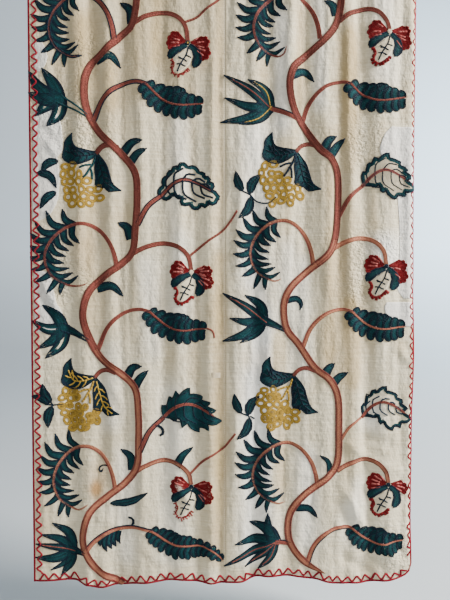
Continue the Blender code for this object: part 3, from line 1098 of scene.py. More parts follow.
def mend_sheet(name, table, material):
    """One patch of new linen and its flat size: width, length and area."""
    heights, lefts, rights = (np.array(column) for column in zip(*table))
    draw = np.random.default_rng(len(name))
    sides = smooth(np.column_stack([lefts, heights])), smooth(np.column_stack([rights, heights]))
    rows = max(6, round((heights[0] - heights[-1]) / MEND_CELL))
    left, right = (resampled(side, rows) for side in sides)
    right[:, 0] += draw.normal(0.0, MEND_WOBBLE, rows)
    columns = max(4, round((rights - lefts).max() / MEND_CELL))
    share = np.linspace(0.0, 1.0, columns)[:, None, None]
    flat = left[None] * (1.0 - share) + right[None] * share
    cloth = hanging_cloth()
    thick = np.full(flat.shape[:2], MEND_LIFT)
    front = cloth.lay(flat[..., 0], flat[..., 1], thick + MEND_THICKNESS)
    behind = cloth.lay(flat[..., 0], flat[..., 1], thick)
    extras = {"flat": flat, "soil": soil_and_painted_light_of(flat) * MEND_SOIL_AND_PAINTED_LIGHT, "crinkle": crinkle_of(flat) * MEND_CRINKLE}
    piece = slab(name, columns, rows, material, front, behind, extras)
    wide = rights.max() - lefts.min()
    long = heights[0] - heights[-1]
    stations = np.linspace(0.0, 1.0, len(heights))
    area = np.interp(np.linspace(0.0, 1.0, 60), stations, rights - lefts).mean() * long
    return piece, sides[1], (wide, long, area)


class CREWEL_OT_mends(bpy.types.Operator):
    """Lay the mending patches of newer linen and fell one side of each"""

    bl_idname = "crewel.mends"
    bl_label = "Mends"

    def execute(self, context):
        sizes = context.scene.crewel_cloth
        material = linen("bleached_mending_linen", tuple(sizes.mend_light), tuple(sizes.mend_dark),
                         tuple(sizes.soil), False)
        felling = Needlework("mend_felling", 3)
        for name, lies_on, table in MENDS:
            piece, edge, flat = mend_sheet(f"mend_{name}", table, material)
            knots = resampled(edge, max(4, round(run_lengths(edge)[-1] / FELLING_PITCH)))
            inwards = -leftward(knots)
            felling.add("cream", knots - inwards * FELLING_OFF, knots + inwards * FELLING_ON,
                        FELLING_YARN, MEND_THICKNESS, FELLING_SHADE)
        felling.make()
        return {"FINISHED"}


# Whipping stitches over the seam: distance apart, reach to each side and down, thickness, and
# depth of dye
SEAM_PITCH = 0.0055
SEAM_REACH = 0.0022
SEAM_YARN = 0.0011
SEAM_SHADE = 0.35
SEAM_ENDS = 0.004        # the seam starts and stops this far from the cloth's edges
# A darn beside the seam: ends of its first row, how many rows, distance apart, thickness, lift,
# depth of dye
DARN_FROM = (-0.037, -1.366)
DARN_TO = (-0.012, -1.368)
DARN_ROWS = 6
DARN_PITCH = 0.0026
DARN_YARN = 0.0022
DARN_LIFT = 0.0004
DARN_SHADE = -0.2


class CREWEL_OT_seam(bpy.types.Operator):
    """Whip the two selvedges together"""

    bl_idname = "crewel.seam"
    bl_label = "Seam"

    def execute(self, context):
        seam = Needlework("seam_stitches", 4)
        heights = -np.arange(SEAM_ENDS, hem_drop(0.0) - SEAM_ENDS, SEAM_PITCH)
        start = np.column_stack([np.full(len(heights), -SEAM_REACH), heights])
        end = np.column_stack([np.full(len(heights), SEAM_REACH), heights - SEAM_REACH])
        seam.add("cream", start, end, SEAM_YARN, 0.0, SEAM_SHADE)
        rows = np.column_stack([np.zeros(DARN_ROWS), -np.arange(DARN_ROWS) * DARN_PITCH])
        seam.add("cream", rows + DARN_FROM, rows + DARN_TO, DARN_YARN, DARN_LIFT, DARN_SHADE)
        seam.make()
        return {"FINISHED"}


# ---------------------------------------------------------------- border
EDGE_IN = 0.0030         # the edging line lies this far in from the cut edge
# The wavy line swings between two distances from the edge, on the left, the hem, the right, and
# the worn upper part of the right side
WAVE_LEFT = (0.0120, 0.0245)
WAVE_HEM = (0.0080, 0.0210)
WAVE_RIGHT = (0.0042, 0.0130)
WAVE_WORN = (0.0045, 0.0135)
WORN_ABOVE = -1.42
WAVE_PITCH = 0.0290
CREST_HALF = 0.0022      # half the length of each rounded crest
CREST_MISS = 0.08        # unevenness of the crests, as a share of their distance
REACH_MISS = 0.0011      # unevenness of their reach
SIDE_FROM = -0.002       # the border starts this far under the top edge
WAVE_STITCH = 0.005
# Shades of the border, half width of its edging line, thickness of its wavy line
BORDER = (("border", 0.35), ("border", 0.5)), 0.0027, 0.0062
WORN_BORDER = (("border", 0.75), ("border", 0.9)), 0.0022, 0.0048


def wavy(edge, inward, pitch, reach, draw):
    """A wavy line inside an edge. inward are unit steps from the edge to the inside."""
    lengths = run_lengths(edge)
    turns = int(lengths[-1] / pitch * 2.0)
    crests = np.linspace(0.0, 1.0, turns + 1) + draw.normal(0.0, CREST_MISS, turns + 1) / turns
    at = np.clip(crests, 0.0, 1.0) * lengths[-1]
    at = np.clip((at[:, None] + np.array((-CREST_HALF, CREST_HALF))).ravel(), 0.0, lengths[-1])
    base, steps = between(at, lengths, edge), between(at, lengths, inward)
    deep = np.where(np.arange(turns + 1) % 2 == 0, *reach)
    deep = np.repeat(deep + draw.normal(0.0, REACH_MISS, turns + 1), 2)
    return smooth(base + steps * deep[:, None])


def side_edge(across, top, bottom):
    """A straight side of the cloth from one height to another."""
    return smooth([(across, top), (across, bottom)], 0.004)


def hem_edge(first, last):
    """The hem line from one place across to another."""
    across = np.linspace(first, last, 400)
    return np.column_stack([across, -hem_drop(across)])


class CREWEL_OT_border(bpy.types.Operator):
    """Work the edging line and the wavy line round three sides"""

    bl_idname = "crewel.border"
    bl_label = "Border"

    def execute(self, context):
        work = Needlework("border", 6)
        left = side_edge(-LEFT_WIDTH, SIDE_FROM, -hem_drop(-LEFT_WIDTH))
        worn = side_edge(RIGHT_WIDTH, SIDE_FROM, WORN_ABOVE)
        right = side_edge(RIGHT_WIDTH, WORN_ABOVE, -hem_drop(RIGHT_WIDTH))
        hem = hem_edge(-LEFT_WIDTH, RIGHT_WIDTH)
        # Edge, side of it that is inside, reach of the wave, look, and the part that the wave takes
        sides = (
            (left, 1.0, WAVE_LEFT, BORDER, slice(4, -6)),
            (hem, 1.0, WAVE_HEM, BORDER, slice(6, -4)),
            (right, -1.0, WAVE_RIGHT, BORDER, slice(0, -6)),
            (worn, -1.0, WAVE_WORN, WORN_BORDER, slice(4, None)),
        )
        for edge, turn, reach, (shades, half, thick), part in sides:
            inward = leftward(edge) * turn
            width = np.full(len(edge), half)
            work.rows(edge + inward * EDGE_IN, width, width, shades)
            wave = wavy(edge[part], inward[part], WAVE_PITCH, reach, work.draw)
            work.line(wave, shades[0], thick, 0.0, WAVE_STITCH)
        work.make()
        return {"FINISHED"}


# ---------------------------------------------------------------- vines and stems
LEFT_VINE = (
    (-0.372, -0.004), (-0.305, -0.070), (-0.260, -0.125), (-0.250, -0.190), (-0.249, -0.280),
    (-0.262, -0.362), (-0.297, -0.397), (-0.345, -0.442), (-0.385, -0.480), (-0.402, -0.535),
    (-0.396, -0.605), (-0.362, -0.670), (-0.300, -0.730), (-0.258, -0.787), (-0.252, -0.860),
    (-0.257, -0.940), (-0.266, -1.012), (-0.300, -1.050), (-0.350, -1.086), (-0.394, -1.131),
    (-0.411, -1.195), (-0.398, -1.253), (-0.362, -1.322), (-0.300, -1.371), (-0.260, -1.415),
    (-0.251, -1.490), (-0.251, -1.565), (-0.256, -1.640), (-0.290, -1.690), (-0.345, -1.733),
    (-0.396, -1.780), (-0.416, -1.850), (-0.404, -1.905), (-0.366, -1.955), (-0.300, -1.994),
)
RIGHT_VINE = (
    (0.218, -0.004), (0.285, -0.065), (0.322, -0.115), (0.335, -0.185), (0.334, -0.285),
    (0.322, -0.358), (0.290, -0.405), (0.231, -0.455), (0.197, -0.490), (0.187, -0.540),
    (0.200, -0.605), (0.232, -0.660), (0.275, -0.720), (0.310, -0.750), (0.327, -0.800),
    (0.327, -0.900), (0.320, -0.975), (0.300, -1.022), (0.245, -1.068), (0.195, -1.115),
    (0.173, -1.165), (0.180, -1.235), (0.216, -1.283), (0.262, -1.350), (0.308, -1.388),
    (0.331, -1.440), (0.334, -1.530), (0.331, -1.625), (0.304, -1.671), (0.235, -1.727),
    (0.196, -1.778), (0.187, -1.835), (0.200, -1.883), (0.240, -1.930), (0.294, -1.957),
)
# Each vine: points, seed of its draws, share over which its end closes, and how far down the fresh
# dye lot starts
VINES = {
    "left_vine": (LEFT_VINE, 7, 0.0, 1.30),
    "right_vine": (RIGHT_VINE, 8, 0.03, 0.98),
}
VINE_HALF = 0.0098
VINE_SWELL = 1.05        # a vine's foot is this many times as wide as its top
VINE_LIFT = 0.0011       # the vines lie over the feet of everything that they carry
MIXED_STEPS = 45         # steps of the vine's path over which the fresh dye lot takes over
# Shades of the stems, from their right side to their left
OLD_STEM = (("stem", 0.08), ("stem", 0.42), ("stem", 0.80), ("stem", 0.35), ("stem", 0.62),
            ("stem", 0.08))
MIXED_STEM = (("stem", 0.15), ("stem", 0.55), ("pale_stem", 0.60), ("stem", 0.75),
              ("pale_stem", 0.35), ("stem", 0.15))
YOUNG_STEM = (("stem", 0.35), ("pale_stem", 0.25), ("pale_stem", 0.85), ("pale_stem", 0.55),
              ("stem", 0.85), ("stem", 0.30))
PALE_STEM = (("pale_stem", 0.15), ("pale_stem", 0.60), ("pale_stem", 0.85), ("pale_stem", 0.30))
OUTLINE_OUT = 1.12       # the navy edge of a stem lies at this share of its half width
STEM_LIFT = 0.0006

# The lowest bend to the left of each growth of the vine; the motifs of that growth hang round it
GROWTHS = {
    "L0": (-0.405, 0.115), "L1": (-0.403, -0.540), "L2": (-0.411, -1.195), "L3": (-0.416, -1.857),
    "R0": (0.187, 0.120), "R1": (0.187, -0.536), "R2": (0.173, -1.178), "R3": (0.187, -1.832),
}


def spot(growth, *millimetres):
    """Points given in millimetres from one growth's bend."""
    return mm(*millimetres) + np.array(GROWTHS[growth])


def rooted(path, back):
    """The same path, started some metres further back."""
    run = (path[0] - path[3]) / np.linalg.norm(path[0] - path[3])
    return np.vstack([path[0] + run * back, path[0] + run * back / 2.0, path])


def stem(work, path, start, end, shades, tip=0.0, outlines=(), lift=STEM_LIFT):
    """A stem of several rows. outlines are the sides, -1 right and 1 left, edged in navy."""
    width = tapered(len(path), start, end, tip)
    work.rows(path, width, width, shades, lift)
    for side in outlines:
        edge = path + leftward(path) * (width * side)[:, None] * OUTLINE_OUT
        work.line(edge, NAVY_LINE, STEM_EDGE, lift)


class CREWEL_OT_vines(bpy.types.Operator):
    """Work the two winding vines"""

    bl_idname = "crewel.vines"
    bl_label = "Vines"

    def execute(self, context):
        for name, (points, seed, tip, fresh_from) in VINES.items():
            work = Needlework(name, seed)
            path = smooth(points)
            width = tapered(len(path), VINE_HALF, VINE_HALF * VINE_SWELL, tip)
            fresh = np.searchsorted(-path[:, 1], fresh_from)
            all_fresh = fresh + MIXED_STEPS
            parts = ((slice(0, fresh), OLD_STEM), (slice(fresh - 1, all_fresh), MIXED_STEM),
                     (slice(all_fresh - 1, None), YOUNG_STEM))
            for part, shades in parts:
                work.rows(path[part], width[part], width[part], shades, VINE_LIFT)
            work.make()
        return {"FINISHED"}


# ---------------------------------------------------------------- fronds
FROND_SPINE = mm((92, 132), (86, 170), (72, 208), (47, 241), (15, 260), (-18, 260), (-52, 244),
                 (-82, 212), (-97, 175), (-95, 142), (-80, 112), (-55, 93), (-28, 82))
# Flame-shaped leaflets: share along the spine, tip across and up, half width, bend
LEAFLETS = (
    (0.445, -52, 304, 11.0, 0.20), (0.505, -92, 294, 11.0, 0.20), (0.560, -121, 270, 11.5, 0.20),
    (0.615, -139, 236, 11.5, 0.18), (0.670, -145, 200, 11.5, 0.16), (0.725, -146, 164, 11.0, 0.14),
    (0.785, -138, 130, 10.5, 0.10), (0.845, -118, 94, 10.0, 0.05), (0.900, -88, 64, 9.5, 0.0),
    (0.940, -58, 58, 8.5, -0.05),
    (0.450, -6, 212, 11.0, -0.22), (0.515, -22, 200, 10.5, -0.22), (0.580, -38, 186, 10.5, -0.20),
    (0.640, -46, 168, 10.0, -0.18), (0.700, -48, 150, 10.0, -0.16), (0.765, -38, 134, 9.5, -0.16),
    (0.830, -24, 122, 9.0, -0.18), (0.900, -12, 108, 8.0, -0.20),
)
# Each frond: stretch across and up, shift across in mm, hook at its end, stem edging, stem shades
FRONDS = {
    "L1": (0.98, 1.00, -3, ((-4, 84),), (-1, 1), OLD_STEM),
    "L2": (1.10, 1.00, -2, ((2, 84), (14, 92)), (), OLD_STEM),
    "L3": (0.95, 1.05, 8, ((-8, 88), (8, 98)), (), YOUNG_STEM),
    "R1": (1.00, 0.98, -6, ((-12, 88), (-4, 108)), (), OLD_STEM),
    "R2": (0.96, 0.97, -4, ((-14, 84), (-6, 88)), (), YOUNG_STEM),
    "R3": (1.00, 0.99, -6, ((-18, 80), (-4, 84)), (), YOUNG_STEM),
}
LEAFLET_SHADES = (("navy", 0.45), ("green", 0.30), ("green", 0.55), ("green", 0.35), ("navy", 0.40))
FROND_STEM = (0.0062, 0.0024)    # half width of a frond's stem at its foot and its end
TIP_MISS = 0.0022        # how far a tip or a berry strays from its place


class CREWEL_OT_fronds(bpy.types.Operator):
    """Work the curled fronds of flame-shaped leaflets"""

    bl_idname = "crewel.fronds"
    bl_label = "Fronds"

    def execute(self, context):
        work = Needlework("fronds", 9)
        for growth, (wide, tall, shift, hook, edges, shades) in FRONDS.items():
            at = spot(growth, (shift, 0))[0]
            stretch = np.array((wide, tall))
            spine = smooth(np.vstack([FROND_SPINE, mm(*hook)]) * stretch + at)
            whole = run_lengths(smooth(FROND_SPINE * stretch))[-1] / run_lengths(spine)[-1]
            for share, x, z, half, bend in LEAFLETS:
                root = spine[round(share * whole * (len(spine) - 1))]
                tip = mm((x, z))[0] * stretch + at + work.draw.normal(0.0, TIP_MISS, 2)
                half = half * work.draw.uniform(0.86, 1.08) / 1000.0
                flame(work, root, tip, half, bend, LEAFLET_SHADES)
            stem(work, spine, *FROND_STEM, shades[1:-1], 0.03, edges)
        work.make()
        return {"FINISHED"}


# ---------------------------------------------------------------- lobed leaves
# Each leaf: foot on the vine and heart where its lobes meet, look of its veins, wool of its stalk,
# then its lobes: tip across and up, half width, bend, and its vein: 0 none, 1 as the look, 2 woody
LOBED_LEAVES = {
    "L1": ((8, -84), (-72, -36), "slit", "green", (
        (-119, 48, 17.0, -0.06, 0), (-158, 40, 18.0, 0.12, 0), (-161, -20, 17.0, 0.10, 0),
        (-138, -84, 18.0, -0.06, 1), (-106, -113, 18.0, 0.16, 1))),
    "L2": ((16, -77), (-60, -38), "slit", "navy", (
        (-116, 25, 14.5, -0.10, 0), (-147, -20, 14.0, 0.14, 1), (-129, -99, 13.5, 0.10, 0),
        (-108, -127, 16.0, 0.16, 1))),
    "L3": ((8, -45), (-34, -36), "stem", "navy", (
        (-88, 46, 12.5, -0.20, 0), (-120, 13, 11.0, -0.12, 0), (-137, -16, 9.5, -0.02, 1),
        (-138, -56, 13.5, 0.10, 0), (-93, -92, 7.5, 0.14, 0), (-64, -108, 13.0, 0.10, 0))),
    "R1": ((25, -99), (-58, -64), "yellow", "stem", (
        (-186, 26, 12.0, -0.04, 2), (-118, 12, 12.5, -0.20, 1), (-184, -38, 12.0, 0.08, 0),
        (-196, -106, 13.0, 0.08, 0), (-143, -112, 13.0, 0.12, 1))),
    "R2": ((3, -64), (-62, -34), "stem", "navy", (
        (-176, 42, 11.5, -0.03, 1), (-112, 37, 12.5, -0.20, 0), (-155, -30, 11.5, 0.08, 0),
        (-176, -96, 13.5, 0.08, 0), (-125, -99, 12.5, 0.12, 0))),
    "R3": ((9, -45), (-38, -36), "stem", "stem", (
        (-60, 49, 13.5, 0.10, 0), (-111, 24, 16.0, -0.16, 0), (-153, -42, 13.5, -0.10, 0),
        (-186, -108, 11.0, -0.02, 1), (-124, -108, 8.5, 0.02, 1), (-86, -114, 11.0, 0.10, 1))),
}
LOBE_SHADES = (("navy", 0.50), ("green", 0.20), ("green", 0.55), ("green", 0.35), ("green", 0.60),
               ("green", 0.20), ("navy", 0.45))
LOBE_SLIT = (0.12, 0.62, 0.09)   # the open slit up a lobe: from, to, half share of its rows
LOBE_POINT_FROM = 0.72   # share of a lobe from which its point is navy
VEIN_TO = 0.86           # share of a lobe at which its vein stops
WOODY_STALK = (0.0052, 0.0064)   # half width of a woody stalk at its foot and its end
OPEN_STALK = (0.0030, 0.0115)    # the same for a stalk of two lines


class CREWEL_OT_lobed_leaves(bpy.types.Operator):
    """Work the broad leaves with pointed lobes"""

    bl_idname = "crewel.lobed_leaves"
    bl_label = "Lobed Leaves"

    def execute(self, context):
        work = Needlework("lobed_leaves", 10)
        for growth, (foot, heart, look, stalk_wool, lobes) in LOBED_LEAVES.items():
            root, meeting = spot(growth, foot, heart)
            for x, z, half, bend, veined in lobes:
                tip = spot(growth, (x, z))[0]
                start = meeting + (meeting - tip) * 0.10
                path = bowed(start, tip, bend)
                width = lobe_width(len(path)) * half / 1000.0
                slit = LOBE_SLIT if look == "slit" and veined else None
                work.rows(path, width, width, LOBE_SHADES, 0.0, slit)
                work.edges(path, width, NAVY_EDGE, *LOBE_EDGE, skip=len(path) // 4)
                work.line(path[int(len(path) * LOBE_POINT_FROM):], NAVY_EDGE, *LOBE_POINT)
                if look != "slit" and veined:
                    vein = ("stem", 0.55) if look == "stem" or veined == 2 else ("yellow", 0.6)
                    work.line(path[:int(len(path) * VEIN_TO)], vein, *LOBE_VEIN)
            self.stalk(work, root, meeting, stalk_wool)
        work.make()
        return {"FINISHED"}

    def stalk(self, work, root, meeting, wool_name):
        """The stalk of one leaf, edged in navy when it is woody, or two lines when it is open."""
        path = smooth([root, (root + meeting) / 2.0 + mm((0, 2))[0], meeting])
        if wool_name == "stem":
            stem(work, path, *WOODY_STALK, OLD_STEM[1:-1], 0.0, (-1,))
            return
        wide = np.linspace(*OPEN_STALK, len(path))
        work.edges(path, wide, (wool_name, 0.5), *OPEN_STALK_EDGE)
        if wool_name == "navy":
            work.rows(path, wide * 0.8, wide * 0.8, (("green", 0.3), ("green", 0.5), ("green", 0.3)))


# ---------------------------------------------------------------- oak leaves
OAK_STEM = mm((0, 0), (20, 44), (49, 77), (84, 98), (122, 104), (150, 97))
OAK_SPINE = mm((150, 97), (170, 77), (193, 57), (221, 42), (252, 37), (290, 40), (315, 41))
# Height of each side of the leaf along its spine, in millimetres
OAK_ABOVE = ((0.0, 12.0), (0.12, 26.0), (0.26, 43.0), (0.42, 53.0), (0.58, 48.0), (0.75, 33.0),
             (0.92, 20.0), (1.0, 13.0))
OAK_BELOW = ((0.0, 24.0), (0.12, 34.0), (0.30, 40.0), (0.55, 37.0), (0.80, 40.0), (0.93, 33.0),
             (1.0, 18.0))
BROAD_OAK = (OAK_STEM, OAK_SPINE, OAK_ABOVE, OAK_BELOW)
# The lowest leaf on the left is longer and flatter than the others
LONG_OAK = (
    mm((0, 0), (24, 27), (65, 54), (113, 66), (150, 67), (189, 58)),
    mm((189, 58), (207, 46), (231, 28), (260, 15), (302, 12), (337, 12), (366, 2), (386, -16),
       (402, -33)),
    ((0.0, 10.0), (0.10, 28.0), (0.24, 38.0), (0.42, 34.0), (0.62, 17.0), (1.0, 9.0)),
    ((0.0, 20.0), (0.15, 34.0), (0.40, 40.0), (0.65, 37.0), (0.85, 22.0), (1.0, 10.0)),
)
# Each leaf: shape, place on the vine, length, turn, fingers above and below, stem edging, shades
OAK_LEAVES = {
    "L1": (BROAD_OAK, (28, -91), 1.00, 0.0, 8, 9, (-1, 1), OLD_STEM),
    "L2": (BROAD_OAK, (46, -94), 1.00, 2.0, 9, 9, (), OLD_STEM),
    "L3": (LONG_OAK, (10, -35), 1.00, 0.0, 13, 14, (1,), YOUNG_STEM),
    "R1": (BROAD_OAK, (38, -106), 0.97, 6.0, 8, 9, (), OLD_STEM),
    "R2": (BROAD_OAK, (58, -108), 0.95, 3.0, 8, 9, (), YOUNG_STEM),
    "R3": (BROAD_OAK, (59, -93), 0.91, 5.0, 8, 11, (-1,), YOUNG_STEM),
}
OAK_FOOT_UNDER = 0.014
OAK_STALK = (0.0064, 0.0042)     # half widths of the stalk, the spine and the tendril
OAK_RIB = (0.0028, 0.0018)
OAK_TENDRIL_HALF = (0.0024, 0.0020)
RIB_LIFT = 0.0014        # a spine lies this high over the filling of its leaf
LEAN_ABOVE = 0.42        # lean of the fingers towards the tip of the leaf
LEAN_BELOW = -0.10
FINGER_FULL = 0.60       # half width of a finger, as a share of the room it has
FINGER_BEND = 0.20
# Five points that hang under the longest stem: root and tip of each, in metres
UNDER_LEAF = (
    ((-0.360, -1.852), (-0.366, -1.876)), ((-0.350, -1.850), (-0.347, -1.893)),
    ((-0.338, -1.847), (-0.334, -1.887)), ((-0.326, -1.844), (-0.322, -1.882)),
    ((-0.314, -1.842), (-0.310, -1.872)),
)
UNDER_HALF = 0.0095
OAK_TENDRIL = mm((0, 0), (10, -2), (19, -10), (22, -26))
FINGER_SHADES = (("navy", 0.45), ("green", 0.15), ("green", 0.55), ("green", 0.55), ("green", 0.20),
                 ("navy", 0.40))


def fingers(work, spine, heights, side, number, lean, size):
    """One side of a leaf made of round fingers, each with a navy edge."""
    high = eased(heights, shares(spine)) / 1000.0 * size
    normal, run = leftward(spine) * side, onward(spine)
    pitch = run_lengths(spine)[-1] / number
    for finger in range(number):
        at = round((finger + 0.5) / number * (len(spine) - 1))
        long = high[at] * work.draw.uniform(0.92, 1.06)
        tip = spine[at] + (normal[at] + run[at] * lean) / math.hypot(1.0, lean) * long
        path = bowed(spine[at], tip, FINGER_BEND * side)
        width = finger_width(len(path)) * pitch * FINGER_FULL
        work.rows(path, width, width, FINGER_SHADES)
        work.edges(path, width, ("navy", 0.35), *FINGER_EDGE, skip=len(path) // 6)


class CREWEL_OT_oak_leaves(bpy.types.Operator):
    """Work the long leaves with round lobes"""

    bl_idname = "crewel.oak_leaves"
    bl_label = "Oak Leaves"

    def execute(self, context):
        work = Needlework("oak_leaves", 11)
        for growth, (shape, foot, grow, turn, above, below, edges, shades) in OAK_LEAVES.items():
            root = spot(growth, foot)[0]
            stalk, spine = (smooth(placed(points, root, turn, grow)) for points in shape[:2])
            fingers(work, spine, shape[3], -1.0, below, LEAN_BELOW, grow)
            fingers(work, spine, shape[2], 1.0, above, LEAN_ABOVE, grow)
            stem(work, rooted(stalk, OAK_FOOT_UNDER), *OAK_STALK, shades[1:-1], 0.0, edges)
            stem(work, spine, *OAK_RIB, shades[1:-1], 0.05, (), RIB_LIFT)
            if growth == "L2":
                stem(work, smooth(spine[-1] + OAK_TENDRIL), *OAK_TENDRIL_HALF, OLD_STEM[1:3])
        for root, tip in UNDER_LEAF:
            flame(work, np.array(root), np.array(tip), UNDER_HALF, -0.14, LEAFLET_SHADES)
        work.make()
        return {"FINISHED"}


# ---------------------------------------------------------------- fruit
FRUIT_LOOP = mm((62, 13), (36, 22), (14, 16), (-2, -1))
WING_UPPER = mm((0, 3), (-34, 8), (-60, 16), (-69, 34), (-71, 53))
WING_LOWER = mm((0, -5), (-30, -26), (-62, -34), (-92, -22), (-98, -8), (-93, 12), (-92, 28),
                (-84, 42), (-71, 53))
WING_RIB = mm((-6, -2), (-36, -10), (-64, -8), (-78, 18))
HANGING_LEFT = mm((0, -4), (-6, -40), (-4, -70), (-3, -94), (22, -100), (36, -112), (68, -108))
HANGING_RIGHT = mm((3, -2), (28, -34), (38, -66), (48, -92), (68, -108))
HANGING_RIB = mm((3, -12), (14, -52), (25, -84), (48, -104))
TWIG = mm((-4, -10), (-12, -33), (-22, -48))
TWIG_ARMS = (mm((-13, -34), (-30, -36), (-46, -43)), mm((-22, -48), (-28, -60), (-36, -70)),
             mm((-18, -44), (-15, -58), (-14, -74)))
# Berry rings, by rows: height below the leaves, first place across, count
BERRY_ROWS = ((-40, -88, 2), (-61, -97, 3), (-83, -95, 4), (-105, -88, 5), (-127, -84, 5),
              (-147, -68, 3))
BERRY_PITCH_MM = 23.0
# Lines of each ring: radius in millimetres, depth of dye
BERRY_LINES = ((12.2, 0.25), (10.2, 0.60), (8.4, 0.50), (6.8, 0.30))
BERRY_FILLING = (-0.0036, -0.0012, 0.0012, 0.0036)
BERRY_FILLING_HALF = 0.005
BERRY_FILLING_YARN = 0.0028
# Each fruit: where the leaves meet, in metres; wool of the veins; wool of the twig; half width of
# its loop in mm; how full its rings are
FRUITS = {
    "L0": ((-0.371, -0.074), "navy", "green", 8.5, 0.0),
    "L1": ((-0.369, -0.729), "navy", "green", 8.5, 0.1),
    "L2": ((-0.378, -1.380), "yellow", "yellow", 6.5, 0.6),
    "R0": ((0.208, -0.072), "navy", "navy", 6.5, 0.0),
    "R1": ((0.208, -0.726), "navy", "navy", 6.0, 0.0),
    "R2": ((0.203, -1.374), "navy", "yellow", 6.0, 0.15),
}
FRUIT_LEAF = (("navy", 0.50), ("green", 0.30), ("green", 0.55), ("green", 0.40), ("green", 0.30),
              ("navy", 0.45))
DARK_FRUIT_LEAF = (("navy", 0.5), ("green", 0.1), ("green", 0.2), ("navy", 0.6))
FRUIT_LOOP_LIFT = 0.0004
VEINS = 9                # side veins of a fruit leaf
VEIN_LENGTH = 0.017


def veined_leaf(work, first, second, rib, vein):
    """A leaf filled between its two sides, with a rib and slanting side veins."""
    first, second = smooth(first), smooth(second)
    work.across(first, second, FRUIT_LEAF if vein == "navy" else DARK_FRUIT_LEAF)
    for edge in (first, second):
        work.line(edge, NAVY_EDGE, *FRUIT_LEAF_EDGE)
    shade = (vein, 0.20 if vein == "navy" else 0.75)
    spine = smooth(rib)
    work.line(spine, shade, *FRUIT_LEAF_RIB)
    normal, run = leftward(spine), onward(spine)
    for index, share in enumerate(np.linspace(0.14, 0.86, VEINS)):
        at = round(share * (len(spine) - 1))
        side = 1.0 if index % 2 else -1.0
        long = VEIN_LENGTH * math.sin(math.pi * (0.15 + 0.75 * share))
        end = spine[at] + (normal[at] * side + run[at] * 0.9) * long
        work.line(bowed(spine[at], end, 0.12 * side), shade, *FRUIT_LEAF_VEIN)


class CREWEL_OT_fruit(bpy.types.Operator):
    """Work the bunches of yellow fruit with their two leaves"""

    bl_idname = "crewel.fruit"
    bl_label = "Fruit"

    def execute(self, context):
        work = Needlework("fruit", 12)
        for meeting, vein, twig, loop, full in FRUITS.values():
            at = np.array(meeting)
            stem(work, smooth(FRUIT_LOOP + at), loop / 1000.0, loop / 1150.0, OLD_STEM,
                 lift=FRUIT_LOOP_LIFT)
            for height, first, count in BERRY_ROWS:
                for number in range(count):
                    middle = at + mm((first + number * BERRY_PITCH_MM, height))[0]
                    self.berry(work, middle + work.draw.normal(0.0, TIP_MISS, 2), full)
            veined_leaf(work, WING_UPPER + at, WING_LOWER + at, WING_RIB + at, vein)
            veined_leaf(work, HANGING_LEFT + at, HANGING_RIGHT + at, HANGING_RIB + at, vein)
            for part in (TWIG, *TWIG_ARMS):
                work.line(smooth(part + at), (twig, 0.45), *TWIG_LINE)
        work.make()
        return {"FINISHED"}

    def berry(self, work, middle, full):
        """One ring of yellow wool, filled now and then in the fuller bunches."""
        angles = np.linspace(0.0, 2.0 * math.pi, 24)
        squash = work.draw.uniform(0.86, 1.14)
        grown = work.draw.uniform(0.88, 1.12)
        wild = 1.0 + 0.10 * np.sin(angles * 2.0 + work.draw.uniform(0.0, 6.0))
        ring = np.column_stack([np.cos(angles) * squash * wild, np.sin(angles) / squash * wild])
        for radius, depth in BERRY_LINES:
            work.line(middle + ring * (radius * grown / 1000.0), ("yellow", depth), *BERRY_LINE)
        if work.draw.uniform() < full:
            for offset in BERRY_FILLING:
                ends = [middle + (reach, offset) for reach in (-BERRY_FILLING_HALF, BERRY_FILLING_HALF)]
                work.line(smooth(ends), ("yellow", 0.25), BERRY_FILLING_YARN)


# ---------------------------------------------------------------- serrated leaves
SERRATED_UPPER = mm((0, 0), (3, 28), (13, 52), (34, 69), (68, 79), (98, 72), (121, 54), (137, 30),
                    (146, 8), (168, -8))
SERRATED_LOWER = mm((0, -2), (28, 1), (54, -6), (76, -24), (100, -35), (122, -25), (144, -18),
                    (168, -8))
SERRATED_SPINE = mm((-4, -4), (32, 30), (66, 43), (104, 33), (148, 8))
# Each leaf: foot on the vine and start of its blade in metres, stretch across, look
SERRATED = {
    "L0": ((-0.250, -0.275), (-0.183, -0.195), 1.00, "open"),
    "L1": ((-0.247, -0.929), (-0.180, -0.850), 0.98, "open"),
    "L2": ((-0.244, -1.590), (-0.181, -1.501), 1.02, "filled"),
    "R0": ((0.334, -0.272), (0.402, -0.190), 0.88, "open"),
    "R1": ((0.333, -0.909), (0.402, -0.822), 0.90, "cream"),
    "R2": ((0.338, -1.569), (0.406, -1.495), 0.84, "plain"),
}
# Each look: shades and width of its outline, filling, and width, depth of dye and reach of its veins
SERRATED_LOOKS = {
    "open": ((("navy", 0.45), ("green", 0.35), ("green", 0.6)), 0.0110, None, (0.0060, 0.40, 0.78)),
    "filled": ((("navy", 0.45), ("green", 0.2)), 0.0046,
               (("green", 0.45), ("green", 0.60), ("green", 0.25)), (0.0042, 0.40, 0.78)),
    "cream": ((("navy", 0.45), ("green", 0.3), ("green", 0.5)), 0.0105,
              (("cream", 0.0), ("cream", 0.4), ("cream", 0.2)), (0.0042, 0.40, 0.78)),
    "plain": ((("navy", 0.45), ("navy", 0.65), ("green", 0.4)), 0.0092, None, (0.0042, 1.0, 0.5)),
}
CREAM_RIB = (("stem", 0.7), ("stem", 0.8), ("navy", 0.95), ("stem", 0.8), ("stem", 0.7))
TOOTH_DEPTH = 0.0125     # depth of the teeth above; the filled leaf has deeper ones
FILLED_TOOTH_DEPTH = 0.0165
LOWER_DEEPER = 0.0025    # the teeth below are this much deeper
OUTLINE_LIFT = 0.0003
